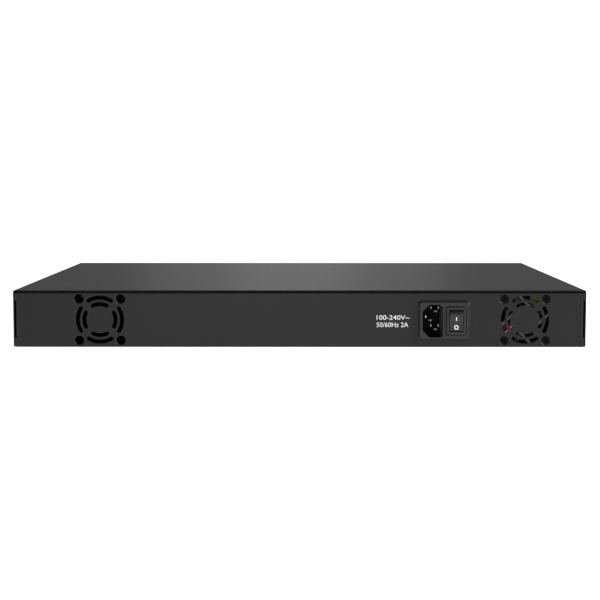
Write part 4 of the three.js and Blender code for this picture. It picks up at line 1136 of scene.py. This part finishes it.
REAR_TURN = Matrix(((-1, 0, 0, 0), (0, 0, 1, 0), (0, 1, 0, 0), (0, 0, 0, 1)))
FRONT_TURN = Matrix(((1, 0, 0, 0), (0, 0, -1, 0), (0, 1, 0, 0), (0, 0, 0, 1)))


def word(text, size, width=None):
    """Raised lettering in its own plane, centred, with capitals about size high."""
    curve = bpy.data.curves.new("word", "FONT")
    curve.body = text
    curve.align_x = curve.align_y = "CENTER"
    curve.size = size / 0.7
    curve.extrude = 0.015
    curve.offset = 0.004 * size
    curve.resolution_u = 4
    part = settled(new_object("word", curve))
    if width:
        xs = [v[0] for v in part[0]]
        part = placed(part, Matrix.Scale(width / (max(xs) - min(xs)), 4, (1, 0, 0)))
    return part


def lettering(name, words, turn, y):
    parts = []
    for text, x, z, size, width in words:
        parts.append(placed(word(text, size, width), Matrix.Translation((x, y, z)) @ turn))
    piece(name, merged(*parts), "black_powder_coat", finish="print")


def add_lettering():
    lettering("rear_print", [("100-240V~", -71.4, 22.8, 3.6, 25.4), ("50/60Hz 2A", -71.3, 17.2, 3.6, 24.4)],
              REAR_TURN, REAR + 0.02)
    words = []
    for block_index in (1, 2, 3):
        node = f"jack_block_{block_index}"
        for i, (x, z, up) in enumerate(ports_of(node)):
            column = i // 2
            number = (block_index - 1) * 8 + column * 2 + (1 if up > 0 else 2)
            words.append((str(number), x, 38 if up > 0 else 4.6, 1.9, None))
    for i in (1, 2):
        words.append((str(24 + i), centre_mm(f"sfp_cage_{i}")[0], 22, 1.9, None))
    for row, column, x, z in led_places():
        label = str(column * 4 + 4 - row) if column < 6 else ("26", "25", "SYS", "PWR")[row]
        words.append((label, x + 3.1, z, 1.25, None))
    words.append(("RESET", RESET[0], RESET[2] - 4.2, 1.7, None))
    lettering("front_print", words, FRONT_TURN, FRONT - 0.02)


# ---- the CAD nodes that stay ----

def dress_cad_nodes():
    slots = {entry["node"]: entry["material_slot"] for entry in frame["record"]["subparts"]}
    for node, thing in frame["nodes"].items():
        thing.data.materials.clear()
        thing.data.materials.append(LOOKS[slots[node]])
        flat = thing.modifiers.new("flat_faces", "DECIMATE")
        flat.decimate_type = "DISSOLVE"
        flat.angle_limit = math.radians(2)
        bevel = thing.modifiers.new("edges", "BEVEL")
        bevel.width = 0.00012
        bevel.segments = 2
        bevel.limit_method = "ANGLE"
        bevel.angle_limit = math.radians(40)
        bevel.harden_normals = True


base_shell()
cover_shell()
front_shell()
add_screws()
fan_housing()
fan_wheel()
fan_leads()
inlet_moulding()
inlet_lining()
contact_blades()
switch_bezel()
rocker()
transformer()
capacitor("psu_bulk_capacitor", "bulk")
capacitor("psu_output_capacitor", "output")
leads()
for block_number in (1, 2, 3):
    jack_block(block_number)
for cage_number in (1, 2):
    sfp_cage(cage_number)
light_guide()
reset_button()
board_parts()
add_lettering()
dress_cad_nodes()
